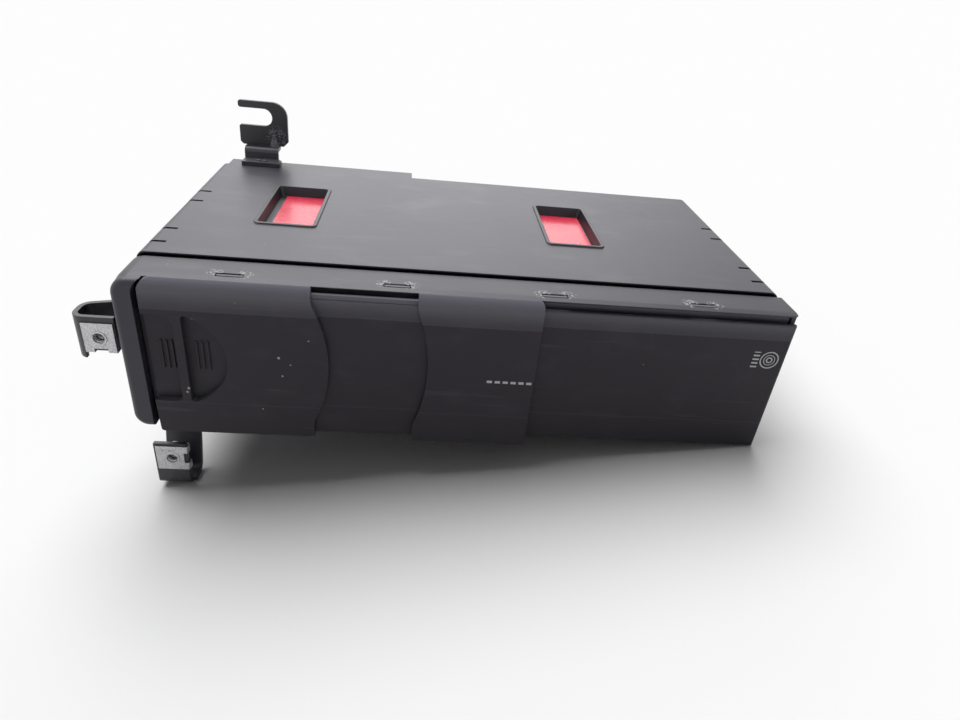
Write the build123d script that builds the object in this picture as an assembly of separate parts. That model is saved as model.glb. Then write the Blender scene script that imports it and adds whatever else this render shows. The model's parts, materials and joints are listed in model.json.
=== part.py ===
"""A car's disc changer with a sliding two-leaf door, its magazine, its lifting player and its brackets.

Sizes are millimetres. X runs to the right, Y to the rear and Z up. While the pieces are made, X starts
at the lid's left edge, Y at the lid's front edge and Z at the foot of the door. Every piece is then
moved so that the origin is the middle of the bottom of the whole changer's box.
"""

from build123d import *
import math
import os

# Clearances
fit_gap = 0.05
seat_gap = 0.02
slide_gap = 0.4
loose_gap = 0.3
sheet_gap = 0.1
bite = 0.2
overrun = 1.0

# Magazine, its trays and the bay round it
disc_radius = 60.0
magazine_width = 132.0
magazine_depth = 128.4
magazine_foot = 19.0
magazine_wall = 1.6
magazine_recess = 2.6
magazine_corner = 1.5
magazine_end_wall = 12.0
grip_block = 5.4
grip_recess_depth = 3.0
grip_recess_foot = 8.0
grip_recess_top = 6.0
arrow_inset = 12.0
arrow_half = 5.0
arrow_length = 8.0
arrow_depth = 0.5
shelf_reach = 1.6
shelf_thick = 0.8
tray_count = 6
tray_pitch = 4.2
tray_thick = 1.6
tray_recess = 0.7
tray_first_gap = 0.6
tray_margin = 2.5
tray_rim = 0.7
tray_opening = 20.0
tray_side_gap = 0.5
rail_width = 5.5
rail_height = 30.0
bay_right_room = 4.5
bay_foot_gap = 2.6
bay_sheet = 1.0
bay_front = 2.0
bay_leg = 6.0
bay_leg_left = 14.0
bay_leg_right = 9.0
bay_leg_end = 8.0
bay_wall_rise = 6.0
bay_lip = 3.0
bay_slot_insets = (37.0, 72.0, 107.0)
bay_slot_front = 25.0
bay_slot_rear = 23.4
bay_slot_radius = 5.0
right_rail_rise = 1.2
skid_width = 6.0
skid_inset = 4.0

# Room inside the casing
side_room = 3.0
rear_room = 6.0
head_room = 16.7
deck_gap = 3.0
deck_width = 99.0
deck_front_gap = 2.6
deck_rear_gap = 1.7

# Sheet steel casing
sheet = 0.8
bend_radius = 3.4
lid_skirt = 2.0
bump_left = 3.6
bump_width = 94.4
bump_depth = 9.0
lid_flange_height = 24.0
lid_flange_inset = 2.0
tray_floor = 0.6
tray_wall_height = 13.4
front_wall_drop = 0.5
deck_post_width = 3.5
deck_side_gap = 1.5
deck_foot_gap = 0.6
bump_overlap = 20.0
side_screw_front = 18.0
side_screw_rear = 19.0
rear_screw_inset = 25.0
floor_rib_height = 1.0
floor_rib_half = 5.0
floor_rib_wall = 1.0
floor_rib_front = 15.0
floor_rib_rear = 16.0
floor_rib_insets = (41.0, 92.0)
deck_rib_inset = 50.0
vent_count = 6
vent_inset = 4.0
vent_pitch = 14.0
vent_foot = 22.0
vent_top = 40.0
vent_radius = 1.5

# Slits that set off the lid's snap tabs
slit_places = (10.5, 24.5, 59.0, 72.5)
slit_width = 1.5
slit_reach = 7.5
slit_drop = 7.0

# The lid's two windows
left_window_inset = 47.2
right_window_inset = 77.7
window_front = 37.0
window_width = 23.0
window_length = 49.5
window_depth = 4.0
window_corner = 1.5
window_slope = 12.0
rim_width = 1.6
rim_height = 0.7
rim_corner = 2.6
label_thick = 0.3
label_inset = 0.7
label_bare = 2.2

# The door's common face: flat between two creases, leaning back below and above them
panel_front = -18.0
panel_thick = 2.0
crease_low = 13.0
crease_drop = 11.1
lean_low = 1.0
lean_high = 0.4
lean_rise = 6.8
brow_depth = 3.1
brow_bulge = 0.6

# Plastic front frame
frame_left = -2.5
frame_right_proud = 1.5
frame_foot = 0.0
frame_top_drop = 1.1
frame_rear = -1.4
frame_plate = 1.2
frame_opening_side = 2.0
frame_opening_rise = 3.0
deck_opening_drop = 0.8
deck_opening_rise = 9.0
frame_screw_left = 30.0
frame_screw_inset = 22.5
frame_screw_foot = 8.5
frame_screw_high = 30.0
post_width = 7.5
post_recess = 0.5
post_round = 2.6
post_corner_round = 7.2
post_corner_drop = 6.6
post_top_corner = 6.5
post_bottom_corner = 5.5
band_recess = 0.5
band_slope_depth = 3.0
band_drop = 0.6
band_corner = 3.5
band_thick = 1.2
sill_gap = 0.5
sill_thick = 1.2
cheek_width = 2.0
tuck_length = 5.0
tuck_gap = 1.0
tuck_thick = 1.1

# Snap tabs that hold the front panel in the frame's band
left_tab_insets = (37.0, 96.5)
right_tab_insets = (94.5, 36.5)
tab_width = 9.4
tab_thick = 1.3
tab_side_gap = 0.2
tab_window_depth = 2.6
tab_shelf_drop = 3.3
tab_shelf_thick = 1.5

# Front panel
panel_foot = 0.2
panel_top_drop = 4.6
panel_round = 1.1
panel_corner = 1.6
panel_end_gap = 0.1
aperture_gap = 0.9

# Sliding leaves
leaf_thick = 1.6
leaf_rise = 0.0
leaf_foot = -1.9
leaf_round = 3.2
leaf_rear_round = 0.6
carrier_thick = 1.6
carrier_inset = 0.8
carrier_overlap = 7.4
carrier_top_drop = 2.7
carrier_foot = -0.6
carrier_groove = 0.3
carrier_hook_thick = 1.2
carrier_skirt_top = 2.0
carrier_notch = 4.0
carrier_notch_drop = 3.0
groove_height = 0.5
groove_lap = 2.0
cap_gap = 0.7
end_wall_inset = 0.5
hook_thick = 0.8
lip_thick = 0.9
lip_reach = 1.7
lip_rise = 2.4
grip_inset = 2.2
grip_width = 59.0
grip_wave = 6.2
grip_corner = 4.5
grip_foot_corner = 1.2
grip_cap_thick = 2.0
outer_cover = 10.5
outer_width = 46.4
outer_wave = 4.8
outer_corner = 2.5
wave_low = 6.0
wave_top_gap = 5.6
wave_blend = 9.0

# Finger recesses in the grip cover
recess_depth = 2.8
recess_floor = 0.7
recess_wall = 0.8
tub_lap = 0.5
recess_low_gap = 0.3
recess_high_gap = 2.2
left_recess_width = 10.4
left_recess_low_corner = 2.0
left_recess_high_corner = 5.0
right_recess_inset = 13.6
right_recess_width = 14.6
right_recess_chord = 1.5
right_recess_corner = 1.2
rib_pitch = 2.0
rib_width = 0.8
rib_height = 0.7
rib_length = 12.0
rib_lift = 1.0
left_ribs_inset = 6.5
right_ribs_inset = 5.5
ribs_per_recess = 3

# Eject button
button_inset = 22.5
button_width = 14.0
button_height = 4.0
button_rise = 3.0
button_corner = 0.8
button_step = 0.1
button_flange = 1.0
button_flange_reach = 1.0
button_flange_rise = 0.8
plunger_length = 5.0
plunger_half = 2.0
plunger_inset = 0.6

# Main board
board_left_gap = 3.0
board_right_gap = 5.0
board_front = 5.0
board_rear_gap = 1.5
board_tail_gap = 2.5
board_tail_left = 4.0
board_tail_right = 6.0
board_foot = 6.0
board_thick = 1.6
board_post_radius = 3.0
board_post_side = 19.0
board_post_front = 7.0
board_post_rear = 13.4
flat_chips = ((39.0, 35.0, 14.0), (74.0, 50.0, 20.0), (106.0, 35.0, 10.0), (69.0, 83.0, 12.0))
chip_height = 1.8
capacitors = ((24.0, 55.0), (32.0, 55.0), (24.0, 70.0), (94.0, 70.0))
capacitor_radius = 3.0
capacitor_height = 7.5
crystal_across = 52.0
crystal_back = 63.0
crystal_length = 11.0
crystal_width = 4.0
crystal_height = 3.5
leg_gap = 1.0

# Rear socket
socket_inset = 17.0
socket_width = 36.0
socket_depth = 13.0
socket_height = 14.0
socket_wall = 1.6
socket_back = 3.0
socket_recess = 0.5
key_width = 5.0
key_length = 7.0
key_depth = 1.0
pin_columns = 8
pin_rows = 2
pin_pitch = 3.8
pin_size = 0.8
pin_recess = 5.0

# Floating deck
deck_foot = 4.0
deck_sheet = 1.0
deck_wall_rise = 3.6
deck_slot_insets = (37.0, 57.0)
deck_slot_front = 20.0
deck_slot_rear = 35.6
deck_slot_radius = 6.0
damper_radius = 5.5
damper_inset = 6.0
damper_front_inset = 25.4
damper_rear_inset = 31.6

# Lift carriage and cams
lift_travel = 21.0
cam_sheet = 1.0
cam_left_inset = 24.0
cam_right_gap = 2.0
cam_foot_drop = 4.1
cam_top_rise = 3.6
cam_leg_inset = 15.0
cam_leg_width = 10.0
link_foot = 5.6
link_thick = 1.0
pin_radius = 1.5
pin_height = 13.5
pin_insets = (30.0, 66.0)
guide_insets = (34.0, 68.0)
guide_rise = 4.3
guide_head = 2.4
guide_head_thick = 0.8
pin_stand = 0.4
carriage_left_gap = 2.0
carriage_right_gap = 3.0
carriage_plate_rise = 2.0
carriage_sheet = 1.5
carriage_flange_drop = 2.5
carriage_flange_thick = 1.2
post_inset = 6.0
post_front_inset = 11.4
post_rear_inset = 7.6
post_spare = 14.0
post_radius = 2.0
collar_wall = 2.0
collar_rise = 4.0

# Lift drive
lift_screw_inset = 19.6
lift_screw_z = 10.2
screw_radius = 1.5
motor_radius = 4.8
motor_inset = 1.0
lift_motor_length = 18.0
saddle_inset = 2.0
saddle_half = 3.0
nut_height = 3.6
bearing_gap = 0.8
bearing_width = 2.6
bearing_half = 4.0

# Spindle and turntable
spindle_inset = 39.0
spindle_motor_radius = 12.0
spindle_motor_length = 8.0
spindle_hole_wall = 4.0
spindle_motor_round = 0.8
spindle_blind = 1.0
shaft_end_gap = 0.5
shaft_radius = 1.0
turntable_radius = 15.0
turntable_rise = 5.2
turntable_thick = 2.0
hub_radius = 7.3
hub_height = 1.0
boss_wall = 3.0
boss_gap = 0.6

# Pickup sled
sled_angle = -45.0
sled_start = 24.0
sled_travel = 34.0
sled_length = 12.0
rod_offset = 11.0
rod_radius = 1.5
rod_height = 12.0
sled_foot = 9.5
sled_edge = 2.8
holder_gap = 0.5
holder_thick = 2.5
holder_half = 2.7
feed_offset = -18.0
feed_arm = 5.0
feed_arm_wall = 1.5
feed_arm_drop = 0.4
feed_motor_radius = 3.4
feed_motor_length = 24.0
feed_motor_end = 11.6
feed_saddle_inset = 4.0
feed_saddle_half = 2.5
feed_saddle_lap = 1.0
lens_radius = 4.0
lens_height = 1.0
lens_rise = 3.5
lens_window_gap = 2.0
turret_wall = 1.0

# Clamp arm
clamp_rise = 3.3
clamp_reach = 51.0
clamp_span = 73.0
clamp_thick = 1.5
clamp_bar_half = 4.0
clamp_bar_thick = 3.0
clamp_knuckle_wall = 1.4
clamp_arm_width = 12.0
clamp_ring = 12.0
lug_thick = 2.0
lug_half = 4.0
lug_rise = 3.2
clamp_pin_stand = 0.5
puck_radius = 14.0
puck_thick = 1.6
puck_neck = 5.9
puck_cap = 9.0
puck_cap_thick = 1.0

# Bracket steel and its fasteners
strap = 2.0
strap_bend = 2.6
side_bow = 2.7
side_turn = 3.5
side_bend = 1.2
foot_bend = 0.8
screw_shank = 1.45
screw_head = 2.9
screw_head_thick = 1.6
screw_head_round = 0.7
screw_length = 4.2
frame_screw_length = 3.6
screw_hole = 1.7
cross_width = 0.7
cross_length = 3.2
case_screw_height = 8.0
rivet_head = 1.25
rivet_shank = 0.8
rivet_head_height = 0.7
rivet_round = 0.5
rivet_tail_height = 0.6
rivet_tail = 1.2
rivet_half_pitch = 1.6
rivet_shift = 0.8

# Rear hook bracket
hook_left = 10.4
hook_width = 17.1
hook_foot_length = 8.0
hook_flare = 2.0
hook_foot_corner = 1.5
hook_plate_left = 7.0
hook_plate_width = 24.7
hook_plate_overlap = 0.3
hook_rise = 7.3
hook_plate_height = 21.9
hook_reach = 7.0
hook_slot_rise = 9.7
hook_slot_height = 8.7
hook_slot_depth = 17.0
hook_slot_round = 1.2
hook_corner = 7.5
hook_chamfer = 2.4
hook_small_chamfer = 1.5
gusset_radius = 2.8
gusset_tip = 0.5
gusset_height = 6.6
gusset_inset = 2.9

# Side bracket
side_reach = 25.0
side_plate_width = 16.3
side_plate_front = -8.3
side_foot = 22.0
side_height = 18.2
side_nut_seat = 3.7
side_nut_inset = 6.35
side_bend_depth = 8.5
side_slant = 7.0
side_foot_length = 26.0
side_screw_inset = 7.0
side_screw_pitch = 12.0

# Foot bracket
foot_left = 0.3
foot_width = 14.6
foot_plate_width = 13.1
foot_plate_top = -12.7
foot_plate_bottom = -34.0
foot_plate_front = -16.0
foot_bend_depth = 8.0
foot_slant = 9.0
foot_flat = 24.0
foot_screw_inset = 7.0
foot_screw_pitch = 10.0
foot_nut_lift = 4.0

# Sheet nuts slid over the edges of the brackets
nut_width = 11.6
nut_overhang = 0.4
nut_length = 12.8
nut_sheet = 0.7
nut_reach = 6.6
nut_bore = 2.25
nut_collar = 4.0
nut_collar_length = 3.6
nut_notch = 5.0
nut_notch_depth = 1.2
nut_ring_height = 0.35
nut_ring_wall = 0.75
plate_hole = 3.2

# From left to right: the bay with its magazine, the deck and the lid's right edge
bay_left = side_room
magazine_left = bay_left + rail_width
magazine_right = magazine_left + magazine_width
bay_right = magazine_right + bay_right_room
deck_left = bay_right + deck_gap
deck_right = deck_left + deck_width
lid_width = deck_right + side_room
outer_right = magazine_right + outer_cover
button_left = magazine_right - button_inset

# From front to rear: the leaves, the panel, the magazine, the deck and the lid's rear edge
leaf_front = panel_front - carrier_thick - leaf_thick - 2 * slide_gap
magazine_front = panel_front + magazine_recess
magazine_rear = magazine_front + magazine_depth
bay_rear = magazine_rear + slide_gap
lid_depth = magazine_rear + rear_room
bump_rear = lid_depth + bump_depth
bump_right = bump_left + bump_width
disc_centre_y = magazine_front + grip_block + loose_gap + tray_rim + disc_radius
deck_front = panel_front + panel_thick + deck_front_gap

# From foot to top: the bay, the magazine and the lid
bay_floor = magazine_foot - bay_foot_gap
magazine_height = 2 * magazine_wall + tray_first_gap + tray_count * tray_pitch
magazine_top = magazine_foot + magazine_height
lid_top = magazine_top + head_room
tray_first = magazine_foot + magazine_wall + tray_first_gap

# Heights of the front, from the lid's top
frame_top = lid_top - frame_top_drop
leaf_top = frame_top + leaf_rise
panel_top = frame_top - panel_top_drop
crease_high = leaf_top - crease_drop
lean_top = crease_high + lean_rise
button_foot = magazine_top + button_rise


def block(x0, x1, y0, y1, z0, z1):
    """A square-edged block between two corners."""
    size = (x1 - x0, y1 - y0, z1 - z0)
    return Pos((x0 + x1) / 2, (y0 + y1) / 2, (z0 + z1) / 2) * Box(*size)


def bar_x(x0, x1, y, z, radius):
    """A round bar along X."""
    return Pos((x0 + x1) / 2, y, z) * Rot(0, 90, 0) * Cylinder(radius, x1 - x0)


def bar_y(x, y0, y1, z, radius):
    """A round bar along Y."""
    return Pos(x, (y0 + y1) / 2, z) * Rot(90, 0, 0) * Cylinder(radius, y1 - y0)


def bar_z(x, y, z0, z1, radius):
    """A round bar along Z."""
    return Pos(x, y, (z0 + z1) / 2) * Cylinder(radius, z1 - z0)


def facing(y):
    """The upright plane at y, seen from the front."""
    return Plane(origin=(0, y, 0), x_dir=(1, 0, 0), z_dir=(0, -1, 0))


def sheet_xz(sketch, y0, y1):
    """A sketch drawn in X and Z, thickened from y0 back to y1."""
    return extrude(facing(y1) * sketch, y1 - y0)


def sheet_yz(sketch, x0, x1):
    """A sketch drawn in Y and Z, thickened from x0 to x1."""
    return extrude(Plane.YZ.offset(x0) * sketch, x1 - x0)


def sheet_xy(sketch, z0, z1):
    """A sketch drawn in X and Y, thickened from z0 up to z1."""
    return extrude(Plane.XY.offset(z0) * sketch, z1 - z0)


def outline(*points):
    """A closed straight-sided face."""
    return make_face(Polyline(*points, close=True))


def rect(x0, x1, y0, y1):
    """A rectangle between two corners, in sketch coordinates."""
    return Pos((x0 + x1) / 2, (y0 + y1) / 2) * Rectangle(x1 - x0, y1 - y0)


def slot(x0, y0, x1, y1, radius):
    """A round-ended slot between two points, in sketch coordinates."""
    length = math.hypot(x1 - x0, y1 - y0)
    turn = math.degrees(math.atan2(y1 - y0, x1 - x0))
    place = Pos((x0 + x1) / 2, (y0 + y1) / 2) * Rot(0, 0, turn)
    return place * SlotCenterToCenter(length, 2 * radius)


def corners_at(sketch, x, y):
    """The sketch's corner nearest to a point."""
    return sketch.vertices().sort_by_distance(Vector(x, y, 0))[0]


def front_top_edge(solid):
    """The foremost of a solid's highest edges along X."""
    return solid.edges().filter_by(Axis.X).group_by(Axis.Z)[-1].sort_by(Axis.Y)[0]


def rear_top_edge(solid):
    """The rearmost of a solid's highest edges along X."""
    return solid.edges().filter_by(Axis.X).group_by(Axis.Z)[-1].sort_by(Axis.Y)[-1]


def pan_screw(point, direction, length=screw_length):
    """A pan-head screw whose head sits on a point and whose shank runs along a direction."""
    seat = Plane(origin=point, z_dir=direction)
    shank = Pos(0, 0, length / 2) * Cylinder(screw_shank, length)
    head = Pos(0, 0, -screw_head_thick / 2) * Cylinder(screw_head, screw_head_thick)
    head = fillet(head.edges().group_by(Axis.Z)[0], screw_head_round)
    cross = Box(cross_width, cross_length, screw_head_thick)
    cross += Box(cross_length, cross_width, screw_head_thick)
    return seat * (shank + head - Pos(0, 0, -screw_head_thick) * cross)


# Casing

tray_left = sheet + sheet_gap
tray_right = lid_width - tray_left
tray_rear = lid_depth - tray_left
tray_inner_floor = tray_floor + sheet
tray_wall_top = tray_floor + tray_wall_height
front_wall_top = bay_floor - front_wall_drop
deck_rear = tray_rear - sheet - deck_rear_gap
tuck_top = lid_top - sheet - tuck_gap
rear_wall_top = tuck_top - tuck_thick - loose_gap
side_screw_places = (side_screw_front, lid_depth - side_screw_rear)
rear_screw_places = (lid_width / 2, lid_width - rear_screw_inset)
rear_screw_height = lid_top - lid_flange_height / 2
window_centres = (left_window_inset, lid_width - right_window_inset)
window_centre_y = window_front + window_length / 2
window_floor = lid_top - window_depth
floor_rib_places = [bay_left + inset for inset in floor_rib_insets] + [deck_left + deck_rib_inset]


def lid_box(inset, foot, top):
    """The lid's outer shape, drawn in by an inset."""
    body = block(inset, lid_width - inset, inset, lid_depth - inset, foot, top)
    front = lid_depth - bump_overlap
    return body + block(bump_left + inset, bump_right - inset, front, bump_rear - inset, foot, top)


def side_top_edges(solid):
    """The highest edges along Y at the lid's two outer sides."""
    edges = solid.edges().filter_by(Axis.Y).group_by(Axis.Z)[-1]
    return [e for e in edges if e.center().X < sheet + bite or e.center().X > lid_width - sheet - bite]


def window_places():
    """The middle of each window, in X and Y."""
    return [(x, window_centre_y) for x in window_centres]


def window_cavity(x, y, grow, floor, top):
    """The space inside a window pan, wider towards its mouth."""
    width = window_width + 2 * grow
    length = window_length + 2 * grow
    shift = (top - floor) * math.tan(math.radians(window_slope))
    bottom = RectangleRounded(width - 2 * shift, length - 2 * shift, window_corner)
    mouth = RectangleRounded(width, length, window_corner + grow)
    return loft([Pos(x, y, floor) * bottom, Pos(x, y, top) * mouth])


def add_window(cover, x, y):
    """The cover with one sunk window and its raised rim."""
    rim_size = (window_width + 2 * rim_width, window_length + 2 * rim_width)
    rim = sheet_xy(RectangleRounded(*rim_size, rim_corner), lid_top - sheet, lid_top + rim_height)
    rim = fillet(rim.edges().group_by(Axis.Z)[-1], rim_height * 0.7)
    pan = window_cavity(x, y, sheet, window_floor - sheet, lid_top - sheet / 2)
    cavity = window_cavity(x, y, 0, window_floor, lid_top + rim_height)
    return cover + Pos(x, y, 0) * rim + pan - cavity


def make_top_cover():
    """The lid: a folded steel cover with two windows, snap-tab slits and a rear step."""
    shell = lid_box(0, lid_skirt, lid_top)
    shell = fillet(side_top_edges(shell), bend_radius)
    hollow = lid_box(sheet, lid_skirt - overrun, lid_top - sheet)
    front_hollow = (-overrun, lid_depth / 2, lid_skirt - overrun, lid_top - sheet)
    hollow += block(sheet, lid_width - sheet, *front_hollow)
    hollow = fillet(side_top_edges(hollow), bend_radius - sheet)
    cover = shell - hollow
    rear_open = lid_top - lid_flange_height
    inset = sheet + lid_flange_inset
    cover -= block(inset, lid_width - inset, lid_depth - 2 * sheet, bump_rear + overrun, 0, rear_open)
    for x, y in window_places():
        cover = add_window(cover, x, y)
    for y in slit_places:
        slit = (y - slit_width / 2, y + slit_width / 2, lid_top - slit_drop, lid_top + overrun)
        cover -= block(-overrun, slit_reach, *slit)
        cover -= block(lid_width - slit_reach, lid_width + overrun, *slit)
    for y in side_screw_places:
        cover -= bar_x(-overrun, lid_width + overrun, y, case_screw_height, screw_hole)
    for x in rear_screw_places:
        cover -= bar_y(x, lid_depth - 2 * sheet, lid_depth + overrun, rear_screw_height, screw_hole)
    for x, y, z in side_bracket_holes():
        cover -= bar_x(x - overrun, x + 2 * sheet, y, z, screw_shank + fit_gap)
    for x, y in hook_rivet_places():
        cover -= bar_z(x, y, lid_top - 2 * sheet, lid_top + overrun, rivet_shank + fit_gap)
    return cover


def make_window_label(index):
    """A thin label lying on one window's floor, with a bare strip along one side."""
    x, y = window_places()[index]
    floor_inset = window_depth * math.tan(math.radians(window_slope)) + label_inset
    half_width = window_width / 2 - floor_inset
    half_length = window_length / 2 - floor_inset
    left = x - half_width
    if index == 0:
        left += label_bare
    size = (left, x + half_width, y - half_length, y + half_length)
    return block(*size, window_floor, window_floor + label_thick)


def tray_box(inset, foot, top):
    """The lower casing's outer shape, drawn in by an inset."""
    body = block(tray_left + inset, tray_right - inset, loose_gap + inset, tray_rear - inset, foot, top)
    x0 = bump_left + tray_left + inset
    x1 = bump_right - tray_left - inset
    return body + block(x0, x1, lid_depth - bump_overlap, bump_rear - tray_left - inset, foot, top)


def make_bottom_case():
    """The lower casing: a folded steel tray with a high rear wall and a low front wall."""
    case = tray_box(0, tray_floor, rear_wall_top)
    case -= tray_box(sheet, tray_inner_floor, rear_wall_top + overrun)
    open_rear = tray_rear - sheet - overrun
    case -= block(-overrun, lid_width + overrun, -overrun, open_rear, tray_wall_top, lid_top)
    wall = (loose_gap, loose_gap + sheet)
    post_right = deck_left - deck_side_gap
    case += block(tray_left, tray_right, *wall, tray_floor, front_wall_top)
    case += block(post_right - deck_post_width, post_right, *wall, tray_floor, rear_wall_top)
    deck_mouth = (wall[0] - overrun, wall[1] + overrun, deck_foot - deck_foot_gap, rear_wall_top + overrun)
    case -= block(post_right, deck_right + overrun, *deck_mouth)
    for x in floor_rib_places:
        case = add_floor_rib(case, x)
    case -= socket_box(loose_gap)
    for y in side_screw_places:
        case -= bar_x(-overrun, lid_width + overrun, y, case_screw_height, screw_shank + fit_gap)
    rear_cut = (tray_rear - sheet - overrun, tray_rear + overrun)
    for x in rear_screw_places:
        case -= bar_y(x, *rear_cut, rear_screw_height, screw_shank + fit_gap)
    for index in range(vent_count):
        x = deck_left + vent_inset + index * vent_pitch
        case -= sheet_xz(slot(x, vent_foot, x, vent_top, vent_radius), *rear_cut)
    for x, y, z in foot_bracket_holes():
        case -= bar_z(x, y, z - overrun, z + 2 * sheet, screw_shank + fit_gap)
    for x, z in frame_screw_points():
        case -= bar_y(x, wall[0] - overrun, wall[1] + overrun, z, screw_shank + fit_gap)
    return case


def add_floor_rib(case, x):
    """The lower casing with one long rib pressed up in its floor."""
    wall = floor_rib_wall
    front = floor_rib_front
    rear = lid_depth - floor_rib_rear
    half = floor_rib_half
    top = tray_inner_floor + floor_rib_height
    case += block(x - half - wall, x + half + wall, front - wall, rear + wall, tray_floor, top)
    return case - block(x - half, x + half, front, rear, tray_floor - overrun, top - sheet)


def make_case_screws():
    """The screws that hold the lid to the lower casing at its sides and rear."""
    screws = []
    for y in side_screw_places:
        screws.append(pan_screw((0, y, case_screw_height), (1, 0, 0)))
        screws.append(pan_screw((lid_width, y, case_screw_height), (-1, 0, 0)))
    for x in rear_screw_places:
        screws.append(pan_screw((x, lid_depth, rear_screw_height), (0, -1, 0)))
    return screws


# Front frame and panel

frame_right = lid_width + frame_right_proud
frame_inner_left = frame_left + post_width
frame_inner_right = frame_right - cheek_width
post_front = leaf_front + post_recess
band_front = panel_front + band_recess
band_break = band_front + band_slope_depth
band_foot = frame_top - band_thick
sill_front = panel_front + lean_low + panel_thick + slide_gap + lip_thick + sill_gap
sill_cut_top = crease_low / 3
tab_shelf = panel_top - tab_shelf_drop
tab_top = frame_top - loose_gap
tab_centres = [*left_tab_insets, *[lid_width - inset for inset in right_tab_insets]]


def face_y(front, z):
    """How far back the door's common face stands at a height."""
    if z < crease_low:
        return front + lean_low * (crease_low - z) / crease_low
    if z > crease_high:
        return front + lean_high * (z - crease_high) / (lean_top - crease_high)
    return front


def face_section(front, thick, foot, top):
    """The upright section of a leaf or panel that follows the door's common face."""
    heights = (foot, crease_low, crease_high, top)
    near = [(face_y(front, z), z) for z in heights]
    far = [(face_y(front, z) + thick, z) for z in reversed(heights)]
    return outline(*near, *far)


def brow(front, x0, x1):
    """What the rounded brow takes off the top of a leaf's face."""
    foot = (front + lean_high, lean_top)
    top = (front + brow_depth, leaf_top)
    rise = leaf_top - lean_top
    run = brow_depth - lean_high
    chord = math.hypot(run, rise)
    middle_y = front + (lean_high + brow_depth) / 2 - brow_bulge * rise / chord
    middle_z = (lean_top + leaf_top) / 2 + brow_bulge * run / chord
    near = front - overrun
    edge = [
        ThreePointArc(foot, (middle_y, middle_z), top),
        Line(top, (top[0], leaf_top + overrun)),
        Line((top[0], leaf_top + overrun), (near, leaf_top + overrun)),
        Line((near, leaf_top + overrun), (near, lean_top)),
        Line((near, lean_top), foot),
    ]
    return sheet_yz(make_face(edge), x0, x1)


def frame_screw_points():
    """Where the screws through the frame's back plate stand, in X and Z."""
    low_places = (frame_screw_left, magazine_right - frame_screw_inset)
    post_middle = deck_left - deck_side_gap - deck_post_width / 2
    return [(x, frame_screw_foot) for x in low_places] + [(post_middle, frame_screw_high)]


def frame_outline(top):
    """The frame's outline seen from the front, up to a given height."""
    shape = rect(frame_left, frame_right, frame_foot, top)
    shape = fillet(corners_at(shape, frame_left, top), post_top_corner)
    shape = fillet(corners_at(shape, frame_left, frame_foot), post_bottom_corner)
    return fillet(corners_at(shape, frame_right, top), cheek_width * 0.9)


def frame_block():
    """The frame before it is hollowed: its front part lower, with a slope up to the rest."""
    low = frame_outline(frame_top - band_drop)
    high = frame_outline(frame_top)
    body = sheet_xz(low, post_front, band_front)
    body = fillet(body.faces().sort_by(Axis.Y)[0].outer_wire().edges(), post_round)
    slope = loft([facing(band_front) * low, facing(band_break) * high], ruled=True)
    return body + slope + sheet_xz(high, band_break, frame_rear)


def plan_corner(x, y, radius, foot, top):
    """What rounds off a right front corner, seen from above."""
    square = block(x - radius, x + overrun, y - overrun, y + radius, foot, top)
    return square - bar_z(x - radius, y + radius, foot - overrun, top + overrun, radius)


def make_front_frame():
    """The moulded frame round the door: a deep left post, a top band, a sill and a right cheek."""
    body = frame_block()
    near = post_front - overrun
    behind = band_front - bite
    far_right = frame_right + overrun
    foot = frame_foot - overrun
    top = frame_top + overrun
    plate_front = frame_rear - frame_plate
    mouth = block(frame_inner_left, far_right, near, band_front, foot, top)
    corner_foot = frame_top - post_corner_drop
    corner_side = (frame_inner_left - bite, frame_inner_left + post_corner_round)
    corner = block(*corner_side, near, band_front + bite, corner_foot, top)
    hollow = (near - overrun, band_front + overrun, corner_foot, post_corner_round)
    corner -= bar_y(frame_inner_left + post_corner_round, *hollow)
    body -= mouth - corner
    opening = (behind, plate_front, frame_foot + sill_thick, band_foot)
    body -= block(frame_inner_left, frame_inner_right, *opening)
    body -= block(frame_inner_left, far_right, behind, sill_front, foot, sill_cut_top)
    cheek_front = face_y(panel_front, panel_foot) + panel_thick + slide_gap
    body -= block(frame_inner_left, far_right, behind, cheek_front, foot, band_foot)
    body -= plan_corner(frame_right, band_front, band_corner, band_foot - overrun, top)
    through = (plate_front - slide_gap, 0)
    opening_left = magazine_left - frame_opening_side
    opening_right = magazine_right + frame_opening_side
    body -= block(opening_left, opening_right, *through, front_wall_top, magazine_top + frame_opening_rise)
    deck_opening = (deck_foot - deck_opening_drop, magazine_top + deck_opening_rise)
    body -= block(deck_left - overrun, deck_right + overrun, *through, *deck_opening)
    body = add_tuck(body)
    for x in tab_centres:
        body -= tab_window(x)
    for x, z in frame_screw_points():
        body -= bar_y(x, plate_front - slide_gap, 0, z, screw_hole)
    return body


def add_tuck(body):
    """The frame with the lip that tucks under the lid's front edge and down its sides."""
    left = tray_left + sheet_gap
    right = tray_right - sheet_gap
    front = frame_rear - frame_plate / 2
    underside = tuck_top - tuck_thick
    arch = rect(left, right, tray_wall_top, tuck_top)
    for x in (left, right):
        arch = fillet(corners_at(arch, x, tuck_top), bend_radius - sheet)
    lip = sheet_xz(arch, front, tuck_length)
    lip -= block(left, right, front - overrun, tuck_length + overrun, tray_wall_top - overrun, underside)
    legs = sheet_xz(arch, front, loose_gap - sheet_gap)
    between = (front - overrun, overrun, tray_wall_top - overrun, underside)
    legs -= block(left + tuck_thick, right - tuck_thick, *between)
    return body + lip + legs


def tab_window(x):
    """The window in the band that one snap tab stands in."""
    half = tab_width / 2 + tab_side_gap
    rear = tab_front() + tab_thick + slide_gap
    return block(x - half, x + half, rear - tab_window_depth, rear, band_foot - overrun, frame_top + overrun)


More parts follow.
